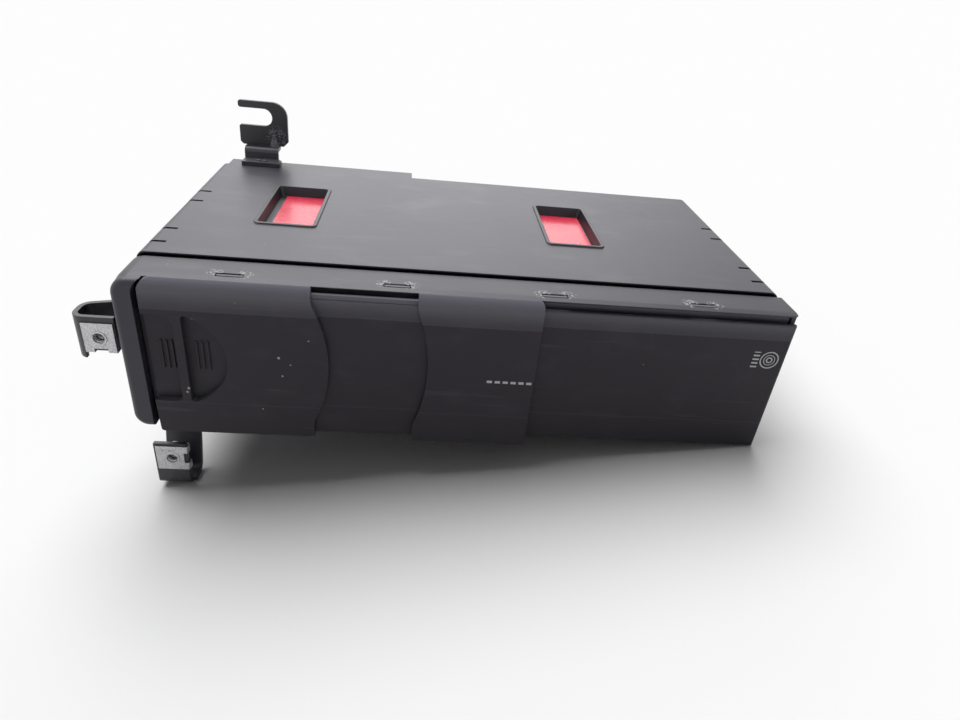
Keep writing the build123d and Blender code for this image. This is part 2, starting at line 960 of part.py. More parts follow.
def tab_front():
    """The front face of the snap tabs, just behind the leaves' hooks."""
    return hook_lip_rear(panel_top) + slide_gap


def hook_lip_rear(z):
    """The rear face of the leaves' hooks behind the panel at a height."""
    return face_y(panel_front, z) + panel_thick + slide_gap + lip_thick


def button_hole(gap):
    """The eject button's outline in X and Z, grown by a gap."""
    right = button_left + button_width
    top = button_foot + button_height
    shape = rect(button_left - gap, right + gap, button_foot - gap, top + gap)
    return fillet(shape.vertices(), button_corner)


def make_front_panel():
    """The fixed panel behind the leaves, with the magazine's aperture and four snap tabs."""
    section = face_section(panel_front, panel_thick, panel_foot, panel_top)
    panel = sheet_yz(section, frame_inner_left + slide_gap, frame_right - panel_end_gap)
    panel = fillet(front_top_edge(panel), panel_round)
    corner_height = (panel_foot - overrun, panel_top + overrun)
    panel -= plan_corner(frame_right - panel_end_gap, panel_front, panel_corner, *corner_height)
    through = (panel_front - panel_thick, panel_front + 2 * panel_thick)
    x0 = magazine_left - aperture_gap
    x1 = magazine_right + aperture_gap
    panel -= block(x0, x1, *through, magazine_foot - aperture_gap, magazine_top + aperture_gap)
    y0 = tab_front()
    y1 = y0 + tab_thick
    shelf_foot = tab_shelf - tab_shelf_thick
    shelf_front = face_y(panel_front, tab_shelf) + panel_thick - 3 * bite
    channel = (frame_inner_left + slide_gap, frame_inner_right - slide_gap)
    panel += block(*channel, shelf_front, y1, shelf_foot, tab_shelf)
    panel += block(*channel, y0, y1, shelf_foot, band_foot - slide_gap)
    gap = button_flange_reach + loose_gap
    button_room = (button_left - gap, button_left + button_width + gap)
    room_top = button_foot + button_height + button_flange_rise + loose_gap
    room_front = face_y(panel_front, room_top) + panel_thick
    panel -= block(*button_room, room_front, y1 + overrun, shelf_foot - overrun, room_top)
    panel -= sheet_xz(button_hole(loose_gap), *through)
    for x in tab_centres:
        panel += block(x - tab_width / 2, x + tab_width / 2, y0, y1, tab_shelf, tab_top)
    return panel


def make_frame_screws():
    """The screws that hold the front frame to the casing's front wall."""
    seat = frame_rear - frame_plate
    return [pan_screw((x, seat, z), (0, 1, 0), frame_screw_length) for x, z in frame_screw_points()]


# Sliding door leaves

grip_left = frame_inner_left + grip_inset
grip_right = grip_left + grip_width
grip_edge = grip_right + grip_wave + overrun
outer_left = outer_right - outer_width
carrier_front = leaf_front + leaf_thick + slide_gap
carrier_left = grip_left + carrier_inset
carrier_right = outer_left + carrier_overlap
carrier_top = leaf_top - carrier_top_drop
lip_drop = panel_top - lip_reach
wave_high = leaf_top - wave_top_gap
recess_low = crease_low + recess_low_gap
recess_high = crease_high - recess_high_gap
recess_middle = (recess_low + recess_high) / 2
left_recess_right = grip_left + left_recess_width
right_recess_left = grip_left + right_recess_inset
outer_travel = frame_inner_right - slide_gap - outer_right
leaf_nest = outer_left + outer_wave - grip_right - grip_wave
grip_travel = leaf_nest - slide_gap


def hook_section(front, hook_top):
    """The cap over the top of a leaf and the hook that hangs it on the panel's top edge."""
    face_top = face_y(front, leaf_top)
    rear = band_front - cap_gap
    lip_rear = hook_lip_rear(panel_top)
    lip_front = lip_rear - lip_thick
    hook_foot = hook_top - hook_thick
    return outline(
        (face_top, hook_foot),
        (face_top, leaf_top),
        (rear, leaf_top),
        (rear, hook_top),
        (lip_rear, hook_top),
        (lip_rear, lip_drop),
        (lip_front, lip_drop),
        (lip_front, hook_foot),
    )


def foot_section(front):
    """The lip that turns under the panel's foot and up behind it."""
    lip_rear = face_y(panel_front, 0) + panel_thick + slide_gap + lip_thick
    lip_front = lip_rear - lip_thick
    near = face_y(front, leaf_foot)
    return outline(
        (near, leaf_foot),
        (near, leaf_foot + lip_thick),
        (lip_front, leaf_foot + lip_thick),
        (lip_front, lip_rise),
        (lip_rear, lip_rise),
        (lip_rear, leaf_foot),
    )


def wavy_edge(x, bulge):
    """An upright edge that bulges to the right between two heights, from foot to top."""
    middle = (wave_low + wave_high) / 2
    return [
        Line((x, leaf_foot - overrun), (x, wave_low)),
        ThreePointArc((x, wave_low), (x + bulge, middle), (x, wave_high)),
        Line((x, wave_high), (x, leaf_top + overrun)),
    ]


def wavy_side(x, bulge, far):
    """The face between a wavy edge and a straight upright one."""
    top = leaf_top + overrun
    foot = leaf_foot - overrun
    closing = [Line((x, top), (far, top)), Line((far, top), (far, foot)), Line((far, foot), (x, foot))]
    face = make_face(wavy_edge(x, bulge) + closing)
    blends = [corners_at(face, x, wave_low), corners_at(face, x, wave_high)]
    return fillet(blends, wave_blend)


def grip_outline():
    """The grip cover's outline in X and Z."""
    whole = rect(grip_left, grip_edge, leaf_foot, leaf_top)
    whole = fillet(corners_at(whole, grip_left, leaf_top), grip_corner)
    whole = fillet(corners_at(whole, grip_left, leaf_foot), grip_foot_corner)
    return whole & wavy_side(grip_right, grip_wave, grip_left - overrun)


def outer_outline():
    """The outer leaf's outline in X and Z."""
    whole = rect(outer_left, outer_right, leaf_foot, leaf_top)
    whole = fillet(corners_at(whole, outer_right, leaf_top), outer_corner)
    return whole & wavy_side(outer_left, outer_wave, outer_right + overrun)


def left_recess(grow=0.0):
    """The left finger recess, open at the cover's left edge."""
    right = left_recess_right + grow
    low = recess_low - grow
    high = recess_high + grow
    shape = rect(grip_left - 2 * overrun, right, low, high)
    shape = fillet(corners_at(shape, right, low), left_recess_low_corner + grow)
    return fillet(corners_at(shape, right, high), left_recess_high_corner + grow)


def right_recess(grow=0.0):
    """The right finger recess: straight on its left, bowed on its right."""
    left = right_recess_left - grow
    right = right_recess_left + right_recess_width + grow
    low = recess_low - grow
    high = recess_high + grow
    chord = left + right_recess_chord
    edge = [
        Line((left, high), (left, low)),
        Line((left, low), (chord, low)),
        ThreePointArc((chord, low), (right, recess_middle), (chord, high)),
        Line((chord, high), (left, high)),
    ]
    return fillet(make_face(edge).vertices(), right_recess_corner)


def thumb_ribs(centre):
    """Short upright ribs on a recess floor."""
    floor = leaf_front + recess_depth
    z0 = recess_middle + rib_lift - rib_length / 2
    ribs = None
    for index in range(ribs_per_recess):
        x = centre + (index - (ribs_per_recess - 1) / 2) * rib_pitch
        side = (x - rib_width / 2, x + rib_width / 2)
        rib = block(*side, floor - rib_height, floor + bite, z0, z0 + rib_length)
        ribs = rib if ribs is None else ribs + rib
    return ribs


def make_grip_cover():
    """The wavy-edged cover on the inner leaf, with two finger recesses."""
    section = face_section(leaf_front, carrier_front - leaf_front, leaf_foot, leaf_top)
    prism = sheet_yz(section, grip_left - overrun, grip_edge)
    cap = (carrier_front - overrun, band_front - cap_gap, leaf_top - grip_cap_thick, leaf_top)
    prism += block(grip_left - overrun, grip_edge, *cap)
    prism -= brow(leaf_front, grip_left - 2 * overrun, grip_edge + overrun)
    prism = fillet(rear_top_edge(prism), leaf_rear_round)
    cover = prism & sheet_xz(grip_outline(), leaf_front - overrun, band_front)
    floor = leaf_front + recess_depth
    limits = block(grip_left, grip_right, leaf_front, panel_front, leaf_foot, leaf_top)
    left_centre = grip_left + left_ribs_inset
    right_centre = right_recess_left + right_ribs_inset
    for recess, centre in ((left_recess, left_centre), (right_recess, right_centre)):
        tub = sheet_xz(recess(recess_wall), carrier_front - tub_lap, floor + recess_floor)
        cover += tub & limits
        cover -= sheet_xz(recess(), leaf_front - overrun, floor)
        cover += thumb_ribs(centre)
    return cover


def make_door_carrier():
    """The inner leaf: a web that slides between the outer leaf and the panel and bears the grip."""
    front = carrier_front
    section = face_section(front, carrier_thick, carrier_foot, carrier_top)
    web = sheet_yz(section, carrier_left, carrier_right)
    groove = face_y(front, panel_top)
    groove_right = carrier_right + overrun
    groove_size = (groove - overrun, groove + carrier_groove, panel_top, panel_top + groove_height)
    web -= block(grip_right - groove_lap, groove_right, *groove_size)
    notch_foot = carrier_top - carrier_notch_drop
    notch = (front - overrun, front + 2 * carrier_thick, notch_foot, carrier_top + overrun)
    web -= block(carrier_right - carrier_notch, groove_right, *notch)
    hook_right = grip_right - wave_blend / 3
    web += sheet_yz(carrier_hook(front), carrier_left, hook_right)
    skirt_top = face_y(front, carrier_skirt_top)
    skirt_foot = face_y(front, leaf_foot)
    skirt = outline(
        (skirt_foot, leaf_foot),
        (skirt_top, carrier_skirt_top),
        (skirt_top + carrier_thick, carrier_skirt_top),
        (skirt_foot + carrier_thick, leaf_foot),
    )
    web += sheet_yz(skirt, carrier_left, hook_right)
    web += sheet_yz(foot_section(front), carrier_left, hook_right)
    for recess in (left_recess, right_recess):
        web -= sheet_xz(recess(recess_wall + loose_gap), front - overrun, panel_front)
    return web


def carrier_hook(front):
    """The section of the hook that hangs the inner leaf on the panel's top edge."""
    near = face_y(front, panel_top) + bite
    lip_rear = hook_lip_rear(panel_top)
    foot = panel_top + slide_gap * 1.5
    return outline(
        (near, foot),
        (near, foot + carrier_hook_thick),
        (lip_rear, foot + carrier_hook_thick),
        (lip_rear, lip_drop),
        (lip_rear - lip_thick, lip_drop),
        (lip_rear - lip_thick, foot),
    )


def make_outer_leaf():
    """The outer leaf, whose top hook and foot lip run on the panel's edges."""
    front = leaf_front
    x0 = outer_left - overrun
    prism = sheet_yz(face_section(front, leaf_thick, leaf_foot, leaf_top), x0, outer_right)
    prism += sheet_yz(hook_section(front, band_foot - slide_gap), x0, outer_right)
    prism += sheet_yz(foot_section(front), x0, outer_right)
    end_left = outer_right - leaf_thick
    end_depth = (front + end_wall_inset, panel_front - slide_gap)
    end_wall = block(end_left, outer_right, *end_depth, end_wall_inset, leaf_top - leaf_round)
    low_cut = outline((front, 0), (face_y(front, 0), 0), (front, crease_low))
    prism += end_wall - sheet_yz(low_cut, x0, outer_right + overrun)
    prism -= brow(front, x0 - overrun, outer_right + overrun)
    prism = fillet(rear_top_edge(prism), leaf_rear_round)
    return prism & sheet_xz(outer_outline(), leaf_front - overrun, 0)


def make_eject_button():
    """The eject button behind the door, with its stop flange and plunger."""
    top = button_foot + button_height
    right = button_left + button_width
    front = face_y(panel_front, button_foot) + button_step
    flange_front = face_y(panel_front, top) + panel_thick + loose_gap
    tail = flange_front + button_flange
    cap = sheet_xz(button_hole(0.0), front, tail)
    flange_side = (button_left - button_flange_reach, right + button_flange_reach, flange_front, tail)
    flange = block(*flange_side, button_foot - button_flange_rise, top + button_flange_rise)
    middle = button_left + button_width / 2
    plunger_side = (middle - plunger_half, middle + plunger_half, tail, tail + plunger_length)
    plunger = block(*plunger_side, button_foot + plunger_inset, top - plunger_inset)
    return cap + flange + plunger


# Magazine and bay

magazine_inner_top = magazine_top - magazine_wall
magazine_inner_front = magazine_front + grip_block
magazine_inner_rear = magazine_rear - magazine_wall


def make_magazine_case():
    """The magazine's open-sided lower shell with its front grip block and tray shelves."""
    x0 = magazine_left
    x1 = magazine_right
    top = magazine_inner_top
    shell = block(x0, x1, magazine_front, magazine_rear, magazine_foot, top)
    inner = (magazine_inner_front, magazine_inner_rear, magazine_foot + magazine_wall, top + overrun)
    shell -= block(x0 + magazine_wall, x1 + overrun, *inner)
    recess_side = (x0 + magazine_end_wall, x1 - magazine_end_wall)
    recess_depths = (magazine_front - overrun, magazine_front + grip_recess_depth)
    shell -= block(*recess_side, *recess_depths, magazine_foot + grip_recess_foot, top - grip_recess_top)
    rear = (magazine_inner_rear - shelf_reach, magazine_inner_rear + bite)
    front = (magazine_inner_front - bite, magazine_inner_front + shelf_reach)
    for index in range(1, tray_count):
        z = tray_first + index * tray_pitch - (tray_pitch - tray_thick + bite) / 2
        for span in (rear, front):
            shell += block(x0 + overrun, x1 - 2 * overrun, *span, z, z + shelf_thick)
    vertical = shell.edges().filter_by(Axis.Z).filter_by(lambda e: e.center().Y < magazine_front + bite)
    corners = [e for e in vertical if e.center().X < x0 + bite or e.center().X > x1 - bite]
    return fillet(corners, magazine_corner)


def make_magazine_cover():
    """The magazine's top plate."""
    size = (magazine_left, magazine_right, magazine_front, magazine_rear)
    cover = block(*size, magazine_inner_top, magazine_top)
    cover = fillet(cover.edges().filter_by(Axis.Z).group_by(Axis.Y)[0], magazine_corner)
    middle = magazine_left + magazine_width / 2
    arrow_foot = magazine_front + arrow_inset
    arrow = outline(
        (middle - arrow_half, arrow_foot),
        (middle + arrow_half, arrow_foot),
        (middle, arrow_foot + arrow_length),
    )
    return cover - sheet_xy(arrow, magazine_top - arrow_depth, magazine_top + overrun)


def make_magazine_tray(index):
    """One disc tray: a thin plate with a round recess, a finger notch and a spindle opening."""
    z = tray_first + index * tray_pitch
    x0 = magazine_left + magazine_wall + loose_gap
    x1 = magazine_right - tray_side_gap
    tray = block(x0, x1, magazine_inner_front + loose_gap, magazine_inner_rear - loose_gap, z, z + tray_thick)
    centre = x0 + disc_radius + tray_margin
    above = z + tray_thick + overrun
    tray -= bar_z(centre, disc_centre_y, z + tray_thick - tray_recess, above, disc_radius + slide_gap)
    tray -= bar_z(centre, disc_centre_y, z - overrun, above, tray_opening)
    notch = (disc_centre_y - tray_opening, disc_centre_y + tray_opening, z - overrun, above)
    return tray - block(centre, x1 + overrun, *notch)


def bay_leg_places():
    """Where the bay's legs stand, in X and Y."""
    places_x = (bay_left + bay_leg_left, bay_right - bay_leg_right)
    return [(x, y) for x in places_x for y in (bay_front + bay_leg_end, bay_rear - bay_leg_end)]


def make_bay():
    """The sheet steel bay that the magazine slides into."""
    span = (bay_front, bay_rear)
    bay = block(bay_left, bay_right, *span, bay_floor, bay_floor + bay_sheet)
    bay += block(bay_left, bay_left + bay_sheet, *span, bay_floor, magazine_top + bay_wall_rise)
    bay += block(bay_right - bay_sheet, bay_right, *span, bay_floor, bay_floor + bay_lip)
    for inset in bay_slot_insets:
        x = bay_left + inset
        hole = slot(x, bay_slot_front, x, bay_rear - bay_slot_rear, bay_slot_radius)
        bay -= sheet_xy(hole, bay_floor - overrun, bay_floor + bay_sheet + overrun)
    half = bay_leg / 2
    for x, y in bay_leg_places():
        bay += block(x - half, x + half, y - half, y + half, tray_inner_floor, bay_floor)
    return bay


def make_bay_rails():
    """Moulded rails that guide the magazine at its left side, its right foot and its underside."""
    span = (bay_front, bay_rear)
    floor = bay_floor + bay_sheet
    left = block(bay_left + bay_sheet, magazine_left - slide_gap, *span, floor, floor + rail_height)
    right_top = magazine_foot + right_rail_rise
    right = block(magazine_right + slide_gap, bay_right - bay_sheet, *span, floor, right_top)
    skids = []
    for x in (magazine_left + skid_inset, magazine_right - skid_inset - skid_width):
        skids.append(block(x, x + skid_width, *span, floor, magazine_foot - slide_gap))
    return [left, right] + skids


# Main board and rear socket

board_left = bay_left + board_left_gap
board_right = bay_right - board_right_gap
board_rear = tray_rear - sheet - board_rear_gap
board_tail_rear = bump_rear - board_tail_gap
board_top = board_foot + board_thick
socket_left = bump_left + socket_inset
socket_rear = bump_rear - socket_recess


def board_posts():
    """Where the board's posts stand, in X and Y."""
    places_x = (board_left + board_post_side, board_right - board_post_side)
    places_y = (board_front + board_post_front, bay_rear - board_post_rear)
    return [(x, y) for x in places_x for y in places_y]


def make_main_board():
    """The circuit board under the magazine bay, reaching back into the casing's rear step."""
    board = block(board_left, board_right, board_front, board_rear, board_foot, board_top)
    tail = (board_rear - bump_overlap, board_tail_rear, board_foot, board_top)
    board += block(bump_left + board_tail_left, bump_right - board_tail_right, *tail)
    reach = bay_leg / 2 + leg_gap
    for x, y in bay_leg_places():
        board -= block(x - reach, x + reach, y - reach, y + reach, board_foot - overrun, board_top + overrun)
    for x, y in board_posts():
        board -= bar_z(x, y, board_foot - overrun, board_top + overrun, screw_hole)
    return board


def make_board_posts():
    """Posts between the casing's floor and the board, each with its screw."""
    posts = []
    for x, y in board_posts():
        post = bar_z(x, y, tray_inner_floor, board_foot, board_post_radius)
        shank = bar_z(x, y, board_foot, board_top, screw_shank)
        head = bar_z(x, y, board_top, board_top + screw_head_thick, screw_head)
        posts.append(post + shank + head)
    return posts


def make_board_chips():
    """Flat chips, tall round capacitors and a crystal can on the board."""
    parts = []
    for across, back, size in flat_chips:
        x = board_left + across
        y = board_front + back
        half = size / 2
        parts.append(block(x - half, x + half, y - half, y + half, board_top, board_top + chip_height))
    for across, back in capacitors:
        foot = (board_left + across, board_front + back, board_top, board_top + capacitor_height)
        parts.append(bar_z(*foot, capacitor_radius))
    x = board_left + crystal_across
    y = board_front + crystal_back
    parts.append(block(x, x + crystal_length, y, y + crystal_width, board_top, board_top + crystal_height))
    return parts


def socket_box(gap):
    """The rear socket's outer block, grown by a gap."""
    x0 = socket_left - gap
    x1 = socket_left + socket_width + gap
    top = board_top + socket_height + gap
    return block(x0, x1, socket_rear - socket_depth, socket_rear + 2 * gap, board_top - gap, top)


def make_rear_socket():
    """The moulded multi-pin socket that faces the rear."""
    body = socket_box(0.0)
    x0 = socket_left + socket_wall
    x1 = socket_left + socket_width - socket_wall
    top = board_top + socket_height - socket_wall
    back = socket_rear - socket_depth
    body -= block(x0, x1, back + socket_back, socket_rear + overrun, board_top + socket_wall, top)
    for x, z in socket_pin_places():
        half = pin_size / 2
        body -= block(x - half, x + half, back - overrun, socket_rear, z - half, z + half)
    middle = (x0 + x1) / 2
    key = (socket_rear - key_length, socket_rear + overrun, top - overrun, top + key_depth)
    return body - block(middle - key_width / 2, middle + key_width / 2, *key)


def socket_pin_places():
    """The pins' places in X and Z."""
    centre_x = socket_left + socket_width / 2
    centre_z = board_top + socket_height / 2
    places = []
    for row in range(pin_rows):
        for column in range(pin_columns):
            x = centre_x + (column - (pin_columns - 1) / 2) * pin_pitch
            places.append((x, centre_z + (row - (pin_rows - 1) / 2) * pin_pitch))
    return places


def make_socket_pins():
    """The socket's square pins."""
    half = pin_size / 2
    span = (socket_rear - socket_depth, socket_rear - pin_recess)
    return [block(x - half, x + half, *span, z - half, z + half) for x, z in socket_pin_places()]


# Floating deck

deck_floor = deck_foot + deck_sheet
front_wall = (deck_front, deck_front + deck_sheet)
rear_wall = (deck_rear - deck_sheet, deck_rear)
front_cam = (front_wall[1] + loose_gap, front_wall[1] + loose_gap + cam_sheet)
rear_cam = (rear_wall[0] - loose_gap - cam_sheet, rear_wall[0] - loose_gap)
pin_slot = pin_radius + loose_gap
pin_places = [deck_left + inset for inset in pin_insets]
guide_places = [deck_left + inset for inset in guide_insets]
guide_height = pin_height + lift_travel + guide_rise
cam_foot = pin_height - cam_foot_drop
cam_top = guide_height + cam_top_rise
deck_wall_top = cam_top + deck_wall_rise
cam_leg_left = deck_right - cam_leg_inset
cam_leg_right = cam_leg_left + cam_leg_width
lift_screw_y = deck_rear - lift_screw_inset
bearing_left = cam_leg_right + bearing_gap
bearing_right = bearing_left + bearing_width


def make_deck_frame():
    """The floating deck: a floor with front and rear walls slotted for the lift's pins."""
    deck = block(deck_left, deck_right, deck_front, deck_rear, deck_foot, deck_floor)
    for y0, y1 in (front_wall, rear_wall):
        through = (y0 - overrun, y1 + overrun)
        deck += block(deck_left, deck_right, y0, y1, deck_foot, deck_wall_top)
        for x in pin_places:
            deck -= sheet_xz(slot(x, pin_height, x, pin_height + lift_travel, pin_slot), *through)
        for x in guide_places:
            deck -= bar_y(x, *through, guide_height, pin_radius + fit_gap)
    y = lift_screw_y
    bearing_top = lift_screw_z + bearing_half
    bearing = block(bearing_left, bearing_right, y - bearing_half, y + bearing_half, deck_floor, bearing_top)
    deck += bearing - bar_x(bearing_left - overrun, deck_right, y, lift_screw_z, screw_radius + fit_gap)
    for inset in deck_slot_insets:
        x = deck_left + inset
        hole = slot(x, deck_slot_front, x, deck_rear - deck_slot_rear, deck_slot_radius)
        deck -= sheet_xy(hole, deck_foot - overrun, deck_floor + overrun)
    return deck


def make_deck_dampers():
    """Soft dampers between the casing's floor and the deck."""
    places_x = (deck_left + damper_inset, deck_right - damper_inset)
    places_y = (deck_front + damper_front_inset, deck_rear - damper_rear_inset)
    places = [(x, y) for x in places_x for y in places_y]
    return [bar_z(x, y, tray_inner_floor, deck_foot, damper_radius) for x, y in places]


def post_places():
    """Where the lift's posts stand, in X and Y."""
    x = deck_left + post_inset
    return [(x, deck_front + post_front_inset), (x, deck_rear - post_rear_inset)]


def make_lift_posts():
    """The upright posts that the carriage's collars slide on."""
    top = carriage_plate + lift_travel + post_spare
    return [bar_z(x, y, deck_floor, top, post_radius) for x, y in post_places()]


def make_guide_pins():
    """Headed pins in the deck's walls that carry the cams."""
    pins = []
    for x in guide_places:
        head = front_wall[0] - guide_head_thick
        pin = bar_y(x, front_wall[0], front_cam[1] + bite, guide_height, pin_radius)
        pins.append(pin + bar_y(x, head, front_wall[0], guide_height, guide_head))
        head = rear_wall[1] + guide_head_thick
        pin = bar_y(x, rear_cam[0] - bite, rear_wall[1], guide_height, pin_radius)
        pins.append(pin + bar_y(x, rear_wall[1], head, guide_height, guide_head))
    return pins


def make_cam(y0, y1):
    """One lift cam: a plate with two rising slots, two level slots and a leg at its foot."""
    cam = block(deck_left + cam_left_inset, deck_right - cam_right_gap, y0, y1, cam_foot, cam_top)
    cam += block(cam_leg_left, cam_leg_right, y0, y1, link_foot, cam_foot + bite)
    through = (y0 - overrun, y1 + overrun)
    for x in pin_places:
        rise = slot(x, pin_height, x + lift_travel, pin_height + lift_travel, pin_slot)
        cam -= sheet_xz(rise, *through)
    for x in guide_places:
        level = slot(x, guide_height, x + lift_travel, guide_height, pin_slot)
        cam -= sheet_xz(level, *through)
    return cam


def make_cam_link():
    """The bar that joins the two cams under the carriage."""
    return block(cam_leg_left, cam_leg_right, front_cam[1], rear_cam[0], link_foot, link_foot + link_thick)


def make_lift_nut():
    """The nut on the link bar that the lift screw turns in."""
    y = lift_screw_y
    span = (y - nut_height, y + nut_height, link_foot + link_thick, lift_screw_z + nut_height)
    bore = bar_x(cam_leg_left - overrun, cam_leg_right + overrun, y, lift_screw_z, screw_radius + fit_gap)
    return block(cam_leg_left, cam_leg_right, *span) - bore


lift_motor_left = deck_left + motor_inset
lift_motor_right = lift_motor_left + lift_motor_length


def make_lift_motor():
    """The small motor that turns the lift screw, on its saddle."""
    y = lift_screw_y
    can = bar_x(lift_motor_left, lift_motor_right, y, lift_screw_z, motor_radius)
    saddle_x = (lift_motor_left + saddle_inset, lift_motor_right - saddle_inset)
    return can + block(*saddle_x, y - saddle_half, y + saddle_half, deck_floor, lift_screw_z - saddle_inset)


def make_lift_screw():
    """The lift screw from the motor to its end bearing."""
    return bar_x(lift_motor_right + loose_gap, bearing_right, lift_screw_y, lift_screw_z, screw_radius)


# Lift carriage with spindle and sled

carriage_left = deck_left + carriage_left_gap
carriage_right = deck_right - carriage_right_gap
carriage_front = front_cam[1] + loose_gap
carriage_rear = rear_cam[0] - loose_gap
carriage_plate = pin_height + carriage_plate_rise
carriage_top = carriage_plate + carriage_sheet
carriage_flange = pin_height - carriage_flange_drop
spindle_x = deck_left + spindle_inset
spindle_motor_foot = carriage_plate - spindle_motor_length
turntable_top = carriage_plate + carriage_sheet + turntable_rise
boss_foot = carriage_top + boss_gap
sled_top = carriage_plate - slide_gap
lens_top = carriage_plate + lens_rise
clamp_foot = turntable_top + clamp_rise
clamp_top = clamp_foot + clamp_thick
hinge_x = spindle_x + clamp_reach
hinge_z = clamp_foot + clamp_bar_thick / 2
sled_rear = sled_start - sled_length / 2
sled_front = sled_start + sled_length / 2
holder_inner = sled_rear - holder_gap - holder_thick
holder_outer = sled_front + sled_travel + holder_gap
feed_end = sled_rear + feed_arm + sled_travel + holder_gap


def sled_place(piece):
    """A piece drawn along the sled's own line from the spindle, turned into place."""
    return Pos(spindle_x, disc_centre_y, 0) * Rot(0, 0, sled_angle) * piece


def holder(x, side, bore):
    """A bored block under the plate that holds a rod's end or the feed screw's end."""
    body = block(x, x + holder_thick, side - holder_half, side + holder_half, sled_foot, carriage_plate)
    return body - bar_x(x - overrun, x + holder_thick + overrun, side, rod_height, bore)


def make_lift_carriage():
    """The lifting carriage: a plate with flanges, lift pins, collars, rod holders and clamp lugs."""
    side = (carriage_left, carriage_right)
    thick = carriage_flange_thick
    body = block(*side, carriage_front, carriage_rear, carriage_plate, carriage_top)
    body += block(*side, carriage_front, carriage_front + thick, carriage_flange, carriage_top)
    body += block(*side, carriage_rear - thick, carriage_rear, carriage_flange, carriage_top)
    through = (carriage_plate - overrun, carriage_top + overrun)
    reach = lens_radius + lens_window_gap
    window = rect(sled_start - reach, sled_start + sled_travel + reach, -reach, reach)
    body -= sled_place(sheet_xy(window, *through))
    body -= bar_z(spindle_x, disc_centre_y, *through, shaft_radius + spindle_hole_wall)
    for offset in (-rod_offset, rod_offset):
        for x in (holder_inner, holder_outer):
            body += sled_place(holder(x, offset, rod_radius + seat_gap))
    body += sled_place(holder(feed_end, feed_offset, screw_radius + fit_gap))
    for x in pin_places:
        body += bar_y(x, front_wall[0] - pin_stand, carriage_front + pin_stand, pin_height, pin_radius)
        body += bar_y(x, carriage_rear - pin_stand, rear_wall[1] + pin_stand, pin_height, pin_radius)
    collar_top = carriage_top + collar_rise
    for x, y in post_places():
        body += bar_z(x, y, carriage_flange, collar_top, post_radius + fit_gap + collar_wall)
        body -= bar_z(x, y, carriage_flange - overrun, collar_top + overrun, post_radius + fit_gap)
    lug_side = (hinge_x - lug_half, hinge_x + lug_half)
    for y0 in lug_places():
        y1 = y0 + lug_thick
        body += block(*lug_side, y0, y1, carriage_top - overrun, hinge_z + lug_rise)
        body -= bar_y(hinge_x, y0 - overrun, y1 + overrun, hinge_z, pin_radius + fit_gap)
    return body


def lug_places():
    """The front face of each clamp lug in Y."""
    half = clamp_span / 2 + loose_gap
    return (disc_centre_y - half - lug_thick, disc_centre_y + half)


def make_spindle_motor():
    """The flat spindle motor under the carriage's plate."""
    place = (spindle_x, disc_centre_y)
    motor = bar_z(*place, spindle_motor_foot, carriage_plate, spindle_motor_radius)
    motor = fillet(motor.edges().group_by(Axis.Z)[0], spindle_motor_round)
    bore_foot = spindle_motor_foot + spindle_blind
    return motor - bar_z(*place, bore_foot, carriage_plate + overrun, shaft_radius + fit_gap)


def make_turntable():
    """The turntable with its centring hub and shaft."""
    place = (spindle_x, disc_centre_y)
    foot = turntable_top - turntable_thick
    table = bar_z(*place, foot, turntable_top, turntable_radius)
    hub = bar_z(*place, turntable_top, turntable_top + hub_height, hub_radius)
    hub = chamfer(hub.edges().group_by(Axis.Z)[-1], hub_height * 0.6)
    boss = bar_z(*place, boss_foot, foot, shaft_radius + boss_wall)
    shaft_foot = spindle_motor_foot + spindle_blind + shaft_end_gap
    return table + hub + boss + bar_z(*place, shaft_foot, boss_foot, shaft_radius)


def make_sled_rods():
    """The two guide rods that the pickup slides on."""
    x1 = holder_outer + holder_thick
    rods = [bar_x(holder_inner, x1, side, rod_height, rod_radius) for side in (-rod_offset, rod_offset)]
    return [sled_place(rod) for rod in rods]


def make_pickup():
    """The pickup body with its two rod bores and the nut arm round the feed screw."""
    reach = rod_offset + sled_edge
    body = block(sled_rear, sled_front, -reach, reach, sled_foot, sled_top)
    arm_edge = feed_offset - screw_radius - feed_arm_wall
    arm_top = sled_top - feed_arm_drop
    body += block(sled_rear, sled_rear + feed_arm, arm_edge, overrun - reach, sled_foot, arm_top)
    through = (sled_rear - overrun, sled_front + overrun)
    for side in (-rod_offset, rod_offset):
        body -= bar_x(*through, side, rod_height, rod_radius + fit_gap)
    body -= bar_x(*through, feed_offset, rod_height, screw_radius + fit_gap)
    turret = bar_z(sled_start, 0, sled_top, lens_top - lens_height, lens_radius + turret_wall)
    return sled_place(body + turret)


def make_pickup_lens():
    """The pickup's lens."""
    lens = bar_z(sled_start, 0, lens_top - lens_height, lens_top, lens_radius)
    lens = fillet(lens.edges().group_by(Axis.Z)[-1], lens_height * 0.8)
    return sled_place(lens)


def make_feed_motor():
    """The motor that turns the feed screw, hung under the plate."""
    x0 = feed_motor_end - feed_motor_length
    can = bar_x(x0, feed_motor_end, feed_offset, rod_height, feed_motor_radius)
    saddle_x = (x0 + feed_saddle_inset, feed_motor_end - feed_saddle_inset)
    saddle_y = (feed_offset - feed_saddle_half, feed_offset + feed_saddle_half)
    return sled_place(can + block(*saddle_x, *saddle_y, rod_height + feed_saddle_lap, carriage_plate))


def make_feed_screw():
    """The feed screw from its motor to its outer bearing."""
    x0 = feed_motor_end + loose_gap
    return sled_place(bar_x(x0, feed_end + holder_thick, feed_offset, rod_height, screw_radius))


# Clamp arm and puck

